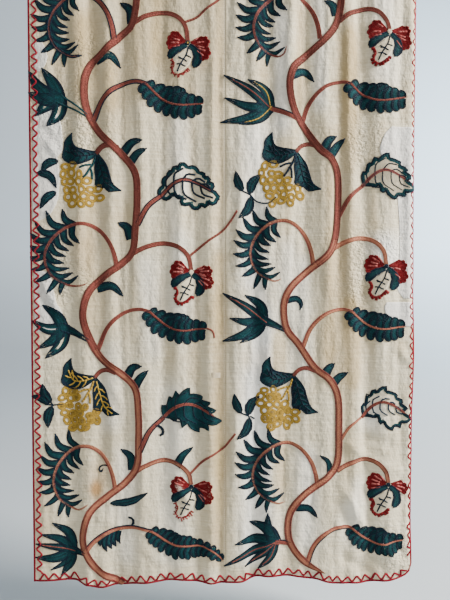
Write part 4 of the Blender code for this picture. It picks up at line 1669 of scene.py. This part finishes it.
FILLED_OUTLINE_LIFT = 0.0012
SERRATED_FOOT_UNDER = 0.009
SERRATED_STALK_HALF = 0.0062
THIN_STALK_HALF = 0.0040
SERRATED_RIB = (0.0046, 0.0028)  # half width of the spine at its foot and its tip
VEIN_LIFT = 0.0008


def toothed(path, teeth, depth, side, hooked=False):
    """A path whose line swings out in uneven teeth on one side: round, or pointing on if hooked."""
    share = shares(path)
    turns = teeth * (share + 0.025 * np.sin(2.0 * math.pi * (2.3 * share + 0.3)))
    swing = (turns % 1.0) ** 1.3 if hooked else np.abs(np.sin(math.pi * turns)) ** 0.7
    swing *= 1.0 + 0.30 * np.sin(math.pi * (5.0 * share + 0.4))
    swing = (swing - 0.45) * np.clip((1.0 - share) / 0.08, 0.0, 1.0)
    return resampled(path + leftward(path) * (side * depth * swing)[:, None], len(path) * 2)


class CREWEL_OT_serrated_leaves(bpy.types.Operator):
    """Work the large leaves with wavy edges"""

    bl_idname = "crewel.serrated_leaves"
    bl_label = "Serrated Leaves"

    def execute(self, context):
        work = Needlework("serrated_leaves", 13)
        for growth, (foot, blade, wide, look) in SERRATED.items():
            at = np.array(blade)
            stretch = np.array((wide, 1.0))
            hooked = look != "open"
            teeth = (8, 5) if hooked else (10, 6)
            deep = FILLED_TOOTH_DEPTH if look == "filled" else TOOTH_DEPTH
            upper, lower = (smooth(side * stretch + at) for side in (SERRATED_UPPER, SERRATED_LOWER))
            upper = toothed(upper, teeth[0], deep, 1.0, hooked)
            lower = toothed(lower, teeth[1], deep + LOWER_DEEPER, -1.0, hooked)
            spine = smooth(SERRATED_SPINE * stretch + at)
            outline, thick, inside, vein = SERRATED_LOOKS[look]
            if inside is not None:
                work.across(spine, resampled(upper, len(upper)), inside)
                work.across(spine, resampled(lower, len(lower)), inside)
            for edge, shades in ((upper, outline[::-1]), (lower, outline)):
                half = np.full(len(edge), thick / 2.0)
                work.rows(edge, half, half, shades, OUTLINE_LIFT if inside is None else FILLED_OUTLINE_LIFT)
            self.veins(work, spine, upper, lower, *vein)
            middle = (np.array(foot) + at) / 2.0 + mm((-6, 8))[0]
            stalk = rooted(smooth([foot, middle, at]), SERRATED_FOOT_UNDER)
            edges = (-1, 1) if growth.startswith("L") else ()
            shades = OLD_STEM if growth != "R2" else YOUNG_STEM
            half = THIN_STALK_HALF if look == "plain" else SERRATED_STALK_HALF
            stem(work, stalk, half, half * 0.8, shades[1:-1], 0.0, edges)
            rib = CREAM_RIB if look == "cream" else OLD_STEM[1:-1]
            stem(work, spine, *SERRATED_RIB, rib, 0.05, (-1, 1) if look == "open" else (), RIB_LIFT)
        work.make()
        return {"FINISHED"}

    def veins(self, work, spine, upper, lower, thick, depth, reach):
        """Curved side veins from the spine towards each edge."""
        for edge, bend in ((upper, 0.24), (lower, -0.24)):
            for share in (0.16, 0.32, 0.48, 0.64, 0.80):
                start = spine[round(share * (len(spine) - 1) * 0.95)]
                end = edge[round(min(share + 0.14, 1.0) * (len(edge) - 1))]
                path = bowed(start, start + (end - start) * reach, bend)
                work.line(path, ("navy", depth), thick, VEIN_LIFT)


# ---------------------------------------------------------------- flowers
# Each flower: its knot from the bend of its growth, rise of its branch, branch shades, knot wool
FLOWERS = {
    "L1": ((298, 122), 3, OLD_STEM, "yellow"), "L2": ((314, 122), 0, OLD_STEM, "cream"),
    "L3": ((318, 153), 27, YOUNG_STEM, "navy"), "R1": ((284, 149), 10, OLD_STEM, "cream"),
    "R2": ((295, 122), -2, PALE_STEM, "navy"), "R3": ((293, 137), 6, YOUNG_STEM, "navy"),
}
BRANCH_SHARES = ((0.0, 174), (0.24, 194), (0.52, 205), (0.78, 195), (0.95, 168))
# Fans of petals: points of the rim from the knot, root on the knot, petals, side of its scallops
FANS = (
    (mm((-24, 24), (-40, 33), (-55, 22), (-62, 6), (-60, -10), (-50, -20)),
     mm((-3, 5), (-7, 2), (-5, -4)), 5, -1.0),
    (mm((34, 15), (50, 16), (62, 8), (62, -6), (52, -13)), mm((5, 4), (8, 1), (8, -2)), 4, 1.0),
    (mm((56, -14), (67, -26), (64, -40), (54, -50), (38, -48)), mm((9, -3), (10, -7), (9, -11)),
     4, 1.0),
)
# What is left of the two right fans of the lowest flower
WORN_FAN = (mm((34, 10), (52, 0), (62, -12), (56, -28), (46, -30)), mm((6, 4), (9, 1), (9, -3)),
            4, 1.0)
FAN_SIZE = 0.93
PETAL_SHADES = (("red", 0.20), ("red", 0.40), ("red", 0.35), ("red", 0.45), ("red", 0.30))
SCALLOP = 0.0065         # depth of the scallops of the rim
UNLIT_PETALS = 0.30      # share of the petals without a pale light
BRANCH_HALF = (0.0068, 0.0058)
BRANCH_FROM = 142        # a branch leaves the vine this many millimetres right of the bend
HEART_SHADES = (("cream", 0.85), ("cream", 0.95), ("cream", 0.85))
SEPAL_SHADES = (("navy", 0.5), ("green", 0.3), ("green", 0.4), ("navy", 0.5))
SEPAL_LIFT = 0.0010
KNOT_RINGS = (0.0045, 0.0020)    # radii of the two rings of the knot
# The heart's red edge: thickness, lift and stitch of its line, how many rays or beads stand on it,
# how far they reach in and out, their thickness, lift and depth of dye
FINE_EDGE = (0.0040, 0.0004, 0.004), 16, 0.002, 0.0085, 0.0040, 0.0004, 0.55
BEAD_EDGE = (0.0074, 0.0004, 0.004), 12, 0.002, 0.0075, 0.0092, 0.0004, 0.35
# Sepals: path, half width
SEPALS = ((mm((-2, -6), (-24, -15), (-44, -28), (-54, -42)), 0.0150),
          (mm((3, -7), (20, -20), (28, -44), (17, -68)), 0.0165))
HEART_LEFT = mm((-4, -12), (-22, -28), (-42, -40), (-40, -62), (-44, -80))
HEART_RIGHT = mm((4, -12), (14, -26), (10, -44), (0, -64), (-26, -84))
BEADED_EDGE = mm((-43, -46), (-38, -60), (-44, -76), (-32, -90), (-14, -84), (0, -72))
HEART_TWIG = mm((1, -12), (-3, -30), (-12, -46), (-22, -62), (-30, -80))
HEART_ARMS = (mm((-28, -40), (-14, -46), (-4, -52)), mm((-32, -60), (-22, -60), (-8, -66)),
              mm((-4, -36), (8, -40)), mm((-12, -46), (-24, -44)))


def fan(work, rim, root, petals, side):
    """A fan of petals: crimson, with a scalloped rim and pale lights up the middle of each petal."""
    rim, root = smooth(rim), smooth(root)
    swing = np.abs(np.sin(math.pi * petals * shares(rim))) ** 0.7
    rim = rim + leftward(rim) * (side * SCALLOP * (swing - 0.5))[:, None]
    root = resampled(root, len(rim))
    work.across(root, rim, PETAL_SHADES)
    work.line(rim, ("red", 0.25), *PETAL_RIM)
    for index in range(petals):
        if work.draw.uniform() < UNLIT_PETALS:
            continue
        at = round((index + 0.5) / petals * (len(rim) - 1))
        span = rim[at] - root[at]
        light = smooth([root[at] + span * 0.34, root[at] + span * work.draw.uniform(0.62, 0.80)])
        work.line(light, ("red", 0.95), *PETAL_LIGHT)


class CREWEL_OT_flowers(bpy.types.Operator):
    """Work the hanging flowers and the branches that carry them"""

    bl_idname = "crewel.flowers"
    bl_label = "Flowers"

    def execute(self, context):
        work = Needlework("flowers", 14)
        for growth, (knot, rise, shades, knot_wool) in FLOWERS.items():
            at = spot(growth, knot)[0]
            reach = knot[0] - BRANCH_FROM
            points = [(BRANCH_FROM + share * reach, height + rise * min(1.0, 0.6 + share))
                      for share, height in BRANCH_SHARES]
            branch = smooth(spot(growth, *points, (knot[0], knot[1] + 6)))
            stem(work, branch, *BRANCH_HALF, shades)
            self.flower(work, at, knot_wool, growth)
        work.make()
        return {"FINISHED"}

    def flower(self, work, at, knot_wool, growth):
        """One flower hanging from its knot."""
        heart = smooth(HEART_LEFT + at), smooth(HEART_RIGHT + at)
        work.across(*heart, HEART_SHADES)
        fans = (FANS[0], WORN_FAN) if growth == "R3" else FANS
        for rim, root, petals, side in fans:
            fan(work, rim * FAN_SIZE + at, root + at, petals, side)
        for points, half in SEPALS:
            path = smooth(points + at)
            share = shares(path)
            wavy_side = 1.0 + 0.10 * np.sin(share * 19.0)
            width = finger_width(len(path)) * half * (0.45 + 0.55 * share) * wavy_side
            work.rows(path, width, width, SEPAL_SHADES, SEPAL_LIFT)
            work.edges(path, width, NAVY_LINE, *SEPAL_EDGE)
        self.beads(work, smooth(BEADED_EDGE + at), growth in ("L1", "L3"))
        for path in (HEART_TWIG, *HEART_ARMS):
            work.line(smooth(path + at), ("navy", 0.4), *HEART_LINE)
        turn = np.linspace(0.0, 2.0 * math.pi, 12)
        outer_wool = "cream" if knot_wool == "cream" else "navy"
        for radius, wool_name in zip(KNOT_RINGS, (outer_wool, knot_wool)):
            ring = at + np.column_stack([np.cos(turn), np.sin(turn) * 1.1]) * radius
            work.line(ring, (wool_name, 0.6), *KNOT_LINE)

    def beads(self, work, edge, fine):
        """The red edge of the heart: a scalloped line with short rays, or a row of beads."""
        line, count, inwards, long, thick, lift, depth = FINE_EDGE if fine else BEAD_EDGE
        if fine:
            work.line(toothed(edge, 9, 0.0045, -1.0), ("red", 0.45), *line)
        else:
            work.line(edge, ("red", 0.30), *line)
        knots = resampled(edge, count)
        outwards = -leftward(knots) + work.draw.normal(0.0, 0.25, knots.shape)
        work.add("red", knots - outwards * inwards, knots + outwards * long, thick, lift, depth)


# ---------------------------------------------------------------- small leaves, sprigs, tendrils
# Horn leaves beside the straight of the vine: base, tip, half width
HORNS = {
    "L1": ((137, 184), (106, 236), 14.5), "L2": ((139, 224), (104, 264), 15.5),
    "L3": ((145, 210), (114, 264), 14.0), "R1": ((130, 201), (100, 234), 13.5),
    "R3": ((121, 176), (94, 222), 8.0),
}
# Thorn leaves on the bend: points from the vine to the tip, half width
THORNS = {
    "L1": (((40, 75), (76, 86), (103, 55)), 13.5), "L2": (((46, 76), (84, 82), (114, 54)), 14.0),
    "R1": (((8, 25), (42, 38), (69, 11)), 12.5), "R2": (((14, 24), (36, 28), (50, 14), (47, -3)), 9.5),
    "R3": (((30, 66), (60, 65), (85, 40)), 11.5),
}
# Pairs of small leaves on the outside of the bend: base, tip, half width, bend
LEFT_PAIR = ((116, -183, 165, -154, 14.5, 0.16), (134, -214, 177, -179, 13.0, 0.10))
RIGHT_PAIR = ((103, -178, 134, -148, 14.5, 0.14), (123, -196, 157, -156, 13.5, 0.05))
PAIRS = {
    "L0": LEFT_PAIR, "L1": LEFT_PAIR,
    "L2": ((130, -178, 168, -152, 14.5, 0.22), (152, -208, 187, -166, 13.5, 0.06)),
    "R0": RIGHT_PAIR, "R1": RIGHT_PAIR,
    "R2": ((122, -190, 147, -162, 14.5, 0.10), (144, -220, 184, -188, 13.5, 0.08)),
}
# Three leaves of a sprig: base and tip from the fork, half width, bend
SPRIG_RIGHT = (((-22, 10), (-42, 64), 10.0, 0.08), ((-2, 3), (29, 57), 11.5, 0.14),
               ((2, -6), (-32, -66), 11.0, 0.14))
SPRIG_LEFT = (((-6, 8), (-30, 60), 11.5, 0.12), ((-12, 2), (-62, 26), 8.5, -0.12),
              ((-3, -4), (-15, -64), 11.5, -0.10))
SPRIG_STALK_RIGHT = ((0, 0), (20, -20), (52, -24), (72, -8))
SPRIG_STALK_LEFT = ((0, 0), (26, 2))
# Each sprig: fork in metres, leaves, stalk
SPRIGS = (
    ((-0.497, -0.155), SPRIG_LEFT, SPRIG_STALK_LEFT),
    ((-0.500, -1.461), SPRIG_LEFT, SPRIG_STALK_LEFT),
    ((0.074, -0.196), SPRIG_RIGHT, SPRIG_STALK_RIGHT),
    ((0.075, -0.850), SPRIG_RIGHT, SPRIG_STALK_RIGHT),
    ((0.071, -1.494), SPRIG_RIGHT, ((4, 0), (14, -6))),
)
# Leaves that stand alone: base and tip in metres, half width in millimetres, bend
LOOSE_LEAVES = (
    ((-0.479, -0.753), (-0.527, -0.788), 9.5, -0.20), ((-0.540, -0.787), (-0.486, -0.828), 9.0, 0.22),
    ((-0.486, -0.842), (-0.531, -0.888), 9.5, -0.12),
)
SMALL_LEAF = (("navy", 0.50), ("green", 0.35), ("green", 0.60), ("green", 0.35), ("navy", 0.45))
HORN_BEND = -0.20
TENDRIL_HALF = (0.0032, 0.0026)
# A claw on the branch of the lowest flower on the left, and a long leaf under that branch
LOW_CLAW = ((-0.138, -1.636), (-0.095, -1.588))
LOW_CLAW_HALF = 0.0125
LONG_LEAF = ((80, 104), (188, 136))
LEAF_LEAST = 0.0005      # half width of a small leaf at its ends
LONG_TENDRIL = ((2, 52), (46, 87), (91, 119), (114, 146), (133, 176))
# Tendrils that rise from the flower branches, from the knot of each flower
TENDRILS = {
    "L1": ((-9, 58), (27, 73), (50, 93), (84, 118), (110, 148), (126, 178)),
    "L2": ((-4, 46), *LONG_TENDRIL), "L3": ((-6, 36), (41, 82), (91, 112), (114, 139), (129, 158)),
}
# Navy curls: points in metres, half width in millimetres
CURLS = (
    (((-0.342, -1.641), (-0.357, -1.639), (-0.368, -1.647), (-0.367, -1.657), (-0.358, -1.657),
      (-0.357, -1.650)), 1.5),
    (((-0.284, -1.795), (-0.272, -1.798), (-0.267, -1.808), (-0.275, -1.819)), 2.6),
    (((-0.204, -1.520), (-0.189, -1.526), (-0.180, -1.538), (-0.183, -1.550), (-0.191, -1.550)), 2.8),
)


class CREWEL_OT_small_leaves(bpy.types.Operator):
    """Work the small leaves, the sprigs and the tendrils"""

    bl_idname = "crewel.small_leaves"
    bl_label = "Small Leaves"

    def execute(self, context):
        work = Needlework("small_leaves", 15)
        for growth, (base, tip, half) in HORNS.items():
            flame(work, *spot(growth, base, tip), half / 1000.0, HORN_BEND, SMALL_LEAF)
        for growth, (points, half) in THORNS.items():
            claw(work, smooth(spot(growth, *points)), half / 1000.0, SMALL_LEAF)
        for growth, leaves in PAIRS.items():
            for x, z, tip_x, tip_z, half, bend in leaves:
                ends = spot(growth, (x, z), (tip_x, tip_z))
                flame(work, *ends, half / 1000.0, bend, SMALL_LEAF)
        flame(work, *np.array(LOW_CLAW), LOW_CLAW_HALF, 0.10, SMALL_LEAF)
        self.leaf(work, *spot("L3", *LONG_LEAF), 9.0, -0.10)
        for fork, leaves, stalk in SPRIGS:
            at = np.array(fork)
            for base, tip, half, bend in leaves:
                self.leaf(work, at + mm(base)[0], at + mm(tip)[0], half, bend)
                work.line(smooth([at, at + mm(base)[0] * 1.3]), NAVY_LINE, *SPRIG_FOOT_LINE)
            work.line(smooth(mm(*stalk) + at), NAVY_LINE, *SPRIG_STALK_LINE)
        for base, tip, half, bend in LOOSE_LEAVES:
            self.leaf(work, base, tip, half, bend)
        for growth, points in TENDRILS.items():
            path = smooth(mm(*points) + spot(growth, FLOWERS[growth][0]))
            stem(work, path, *TENDRIL_HALF, (("stem", 0.30), ("stem", 0.55)))
        for points, half in CURLS:
            stem(work, smooth(points), half / 900.0, half / 700.0, (NAVY_LINE, NAVY_LINE), 0.1)
        work.make()
        return {"FINISHED"}

    def leaf(self, work, base, tip, half, bend):
        """One small filled leaf with toothed sides and a darker rib."""
        path = bowed(base, tip, bend)
        teeth = 1.0 + 0.16 * np.abs(np.sin(shares(path) * math.pi * 4.0))
        width = almond(len(path), 0.42) * half / 1000.0 * teeth + LEAF_LEAST
        work.rows(path, width, width, SMALL_LEAF)
        work.edges(path, width, NAVY_EDGE, *SMALL_LEAF_EDGE)
        work.line(path, ("navy", 0.30), *SMALL_LEAF_RIB)


# ---------------------------------------------------------------- wear
# Loose ends of border wool: points in metres
LOOSE_ENDS = (
    ((-0.556, -0.980), (-0.562, -0.984), (-0.560, -0.990)),
    ((-0.557, -1.010), (-0.563, -1.014), (-0.562, -1.022)),
    ((-0.555, -1.116), (-0.562, -1.121), (-0.561, -1.129)),
    ((0.545, -0.940), (0.551, -0.951), (0.547, -0.962)),
    ((0.543, -1.470), (0.549, -1.480), (0.545, -1.487)),
)
# Needle marks where old stitches are gone: middle across and height, run across and down, marks
NEEDLE_MARKS = (
    (-0.075, -0.910, 0.012, 0.110, 16), (-0.350, -0.480, 0.080, 0.060, 34),
    (0.395, -0.700, 0.018, 0.090, 30), (-0.095, -1.110, 0.030, 0.060, 14),
    (0.095, -0.480, 0.020, 0.120, 14), (-0.440, -0.560, 0.060, 0.040, 16),
    (0.520, -0.970, 0.030, 0.050, 14), (-0.320, -1.090, 0.060, 0.050, 16),
    (0.110, -1.420, 0.060, 0.080, 10), (-0.130, -0.330, 0.040, 0.060, 12),
    (0.420, -1.000, 0.050, 0.030, 18), (-0.420, -0.960, 0.040, 0.040, 12),
)
MARK_SIZE = 0.0016       # half length and width of a mark
MARK_SHADE = -0.8


class CREWEL_OT_wear(bpy.types.Operator):
    """Leave the loose ends and the marks of lost stitches"""

    bl_idname = "crewel.wear"
    bl_label = "Wear"

    def execute(self, context):
        work = Needlework("wear", 17)
        for points in LOOSE_ENDS:
            work.line(smooth(points), ("border", 0.5), *LOOSE_END)
        for across, height, wide, long, marks in NEEDLE_MARKS:
            middle = work.draw.normal(0.0, 0.5, (marks, 2)) * (wide, long) + (across, height)
            lean = work.draw.normal(0.0, 1.0, (marks, 2)) * MARK_SIZE
            work.add("cream", middle - lean, middle + lean, MARK_SIZE, 0.0, MARK_SHADE)
        work.make()
        return {"FINISHED"}


# ---------------------------------------------------------------- back of the work
BACK_SHARE = 0.30        # share of the front's stitches that show behind
BACK_LENGTH = 0.45       # their length and width, as shares of the front's
BACK_WIDTH = 1.1
BACK_MISS = 0.0006


class CREWEL_OT_work_back(bpy.types.Operator):
    """Carry the stitches through to the back of the cloth"""

    bl_idname = "crewel.work_back"
    bl_label = "Back of the Work"

    def execute(self, context):
        work = Needlework("work_back", 16)
        for wool_name, stitches in BACK_WORK:
            keep = work.draw.uniform(0.0, 1.0, len(stitches)) < BACK_SHARE
            kept = stitches[keep]
            middle = (kept[:, 0:2] + kept[:, 2:4]) / 2.0
            half = (kept[:, 2:4] - kept[:, 0:2]) * BACK_LENGTH / 2.0
            half += work.draw.normal(0.0, BACK_MISS, half.shape)
            work.add(wool_name, middle - half, middle + half, kept[:, 4] * BACK_WIDTH, 0.0, kept[:, 6])
        work.make("back")
        return {"FINISHED"}


# ---------------------------------------------------------------- stage
CAMERA_PLACE = (0.0015, -1.5482, -1.1048)
CAMERA_TILT = 88.18
SENSOR_MM = 36.0
CLOTH_MIDDLE = (0.0, 0.0, -1.1)
# Each light: place, what it is aimed at, size, colour
LIGHTS = {
    "key": ((4.2, -1.25, 1.0), CLOTH_MIDDLE, 1.2, (1.0, 0.97, 0.92)),
    "fill": ((-1.8, -3.0, -0.4), CLOTH_MIDDLE, 1.8, (1.0, 0.98, 0.95)),
    "wall": ((6.0, 3.0, 1.0), (2.0, 7.6, -0.4), 3.0, (0.72, 0.89, 1.0)),
}
SKY = linear("#DDE0E2")
# The sweep darkens from the wall down to the floor: painted shade
FLOOR_PAINTED_SHADE = linear("#BEC3C7")
WALL_PAINT = linear("#E6EEF5")
PAINTED_SHADE_RISE = 1.6          # height over which the painted shade near the floor fades into the wall's colour
SWEEP_HALF = 14.0
# The sweep from the floor into the wall: how far behind the cloth, height over the floor
SWEEP = ((-14.0, 0.0), (4.5, 0.0), (5.6, 0.12), (6.6, 0.55), (7.3, 1.3), (7.6, 2.3), (7.7, 9.0))


def area_light(name, place, aim, size, colour, energy):
    """A soft square light aimed at a place."""
    data = bpy.data.lights.new(name, "AREA")
    data.shape = "SQUARE"
    data.size = size
    data.energy = energy
    data.color = colour
    light = bpy.data.objects.new(name, data)
    light.location = place
    light.rotation_euler = (Vector(aim) - Vector(place)).to_track_quat("-Z", "Y").to_euler()
    bpy.context.scene.collection.objects.link(light)


class CREWEL_OT_stage(bpy.types.Operator):
    """Set the floor, the lights and the camera"""

    bl_idname = "crewel.stage"
    bl_label = "Stage"

    def execute(self, context):
        sizes = context.scene.crewel_stage
        points = [(side * SWEEP_HALF, y, sizes.floor_height + z) for y, z in SWEEP for side in (-1, 1)]
        faces = [(2 * k, 2 * k + 1, 2 * k + 3, 2 * k + 2) for k in range(len(SWEEP) - 1)]
        mesh = bpy.data.meshes.new("floor")
        mesh.from_pydata(points, [], faces)
        mesh.shade_smooth()
        material, tree, shader = new_material("painted_floor", 0.7)
        place = node(tree, "ShaderNodeTexCoord").outputs["Object"]
        height = node(tree, "ShaderNodeSeparateXYZ", [("Vector", place)]).outputs["Z"]
        # Painted shade: the grey of the floor fades into the wall's colour as the sweep rises
        rise = node(tree, "ShaderNodeMapRange", [("Value", height)],
                    [("From Min", sizes.floor_height), ("From Max", sizes.floor_height + PAINTED_SHADE_RISE)])
        tree.links.new(mixed(tree, rise.outputs[0], FLOOR_PAINTED_SHADE, WALL_PAINT), shader.inputs["Base Color"])
        mesh.materials.append(material)
        floor = bpy.data.objects.new("floor", mesh)
        context.scene.collection.objects.link(floor)
        floor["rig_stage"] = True
        world = bpy.data.worlds.new("studio")
        world.use_nodes = True
        background = world.node_tree.nodes["Background"]
        background.inputs["Color"].default_value = (*SKY, 1.0)
        background.inputs["Strength"].default_value = sizes.world
        context.scene.world = world
        for name, row in LIGHTS.items():
            area_light(f"{name}_light", *row, getattr(sizes, f"{name}_energy"))
        data = bpy.data.cameras.new("camera")
        data.lens = sizes.lens
        data.sensor_width = SENSOR_MM
        camera = bpy.data.objects.new("camera", data)
        camera.location = CAMERA_PLACE
        camera.rotation_euler = (math.radians(CAMERA_TILT), 0.0, 0.0)
        context.scene.collection.objects.link(camera)
        context.scene.camera = camera
        return {"FINISHED"}


class CREWEL_OT_declare_cloth(bpy.types.Operator):
    """Say what each loom width measures flat and what is worked on it"""
    # Gather the worked pieces shown on the cloth; nothing more is done with them

    bl_idname = "crewel.declare_cloth"
    bl_label = "Declare the Cloth"

    def execute(self, context):
        worked = [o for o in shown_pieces() if o.name.split("_")[0] not in ("ground", "mend")]
        worked = [o for o in worked if "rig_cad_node" not in o]
        return {"FINISHED"}


OPERATORS = (
    CREWEL_OT_ground_cloth, CREWEL_OT_mends, CREWEL_OT_seam, CREWEL_OT_border, CREWEL_OT_vines,
    CREWEL_OT_fronds, CREWEL_OT_lobed_leaves, CREWEL_OT_oak_leaves, CREWEL_OT_fruit,
    CREWEL_OT_serrated_leaves, CREWEL_OT_flowers, CREWEL_OT_small_leaves, CREWEL_OT_wear,
    CREWEL_OT_work_back, CREWEL_OT_declare_cloth, CREWEL_OT_stage,
)


class CREWEL_PT_sidebar(bpy.types.Panel):
    """Everything that makes the hanging"""

    bl_idname = "CREWEL_PT_sidebar"
    bl_label = "Crewel Hanging"
    bl_space_type = "VIEW_3D"
    bl_region_type = "UI"
    bl_category = "Crewel"

    def draw(self, context):
        """One button for each group of pieces."""
        for operator in OPERATORS:
            self.layout.operator(operator.bl_idname)


SETTINGS = {
    "crewel_cloth": ClothSettings, "crewel_stitch": StitchSettings, "crewel_wool": WoolSettings,
    "crewel_stage": StageSettings,
}


def register():
    """Adds the settings, the operators and the panel."""
    for group in SETTINGS.values():
        bpy.utils.register_class(group)
    for name, group in SETTINGS.items():
        setattr(bpy.types.Scene, name, PointerProperty(type=group))
    for operator in OPERATORS:
        bpy.utils.register_class(operator)
    bpy.utils.register_class(CREWEL_PT_sidebar)


def unregister():
    """Takes them away again."""
    bpy.utils.unregister_class(CREWEL_PT_sidebar)
    for operator in reversed(OPERATORS):
        bpy.utils.unregister_class(operator)
    for name, group in reversed(SETTINGS.items()):
        delattr(bpy.types.Scene, name)
        bpy.utils.unregister_class(group)


def main():
    """Makes every piece in turn."""
    register()
    for operator in OPERATORS:
        group, name = operator.bl_idname.split(".")
        getattr(getattr(bpy.ops, group), name)()


if __name__ == "__main__":
    main()
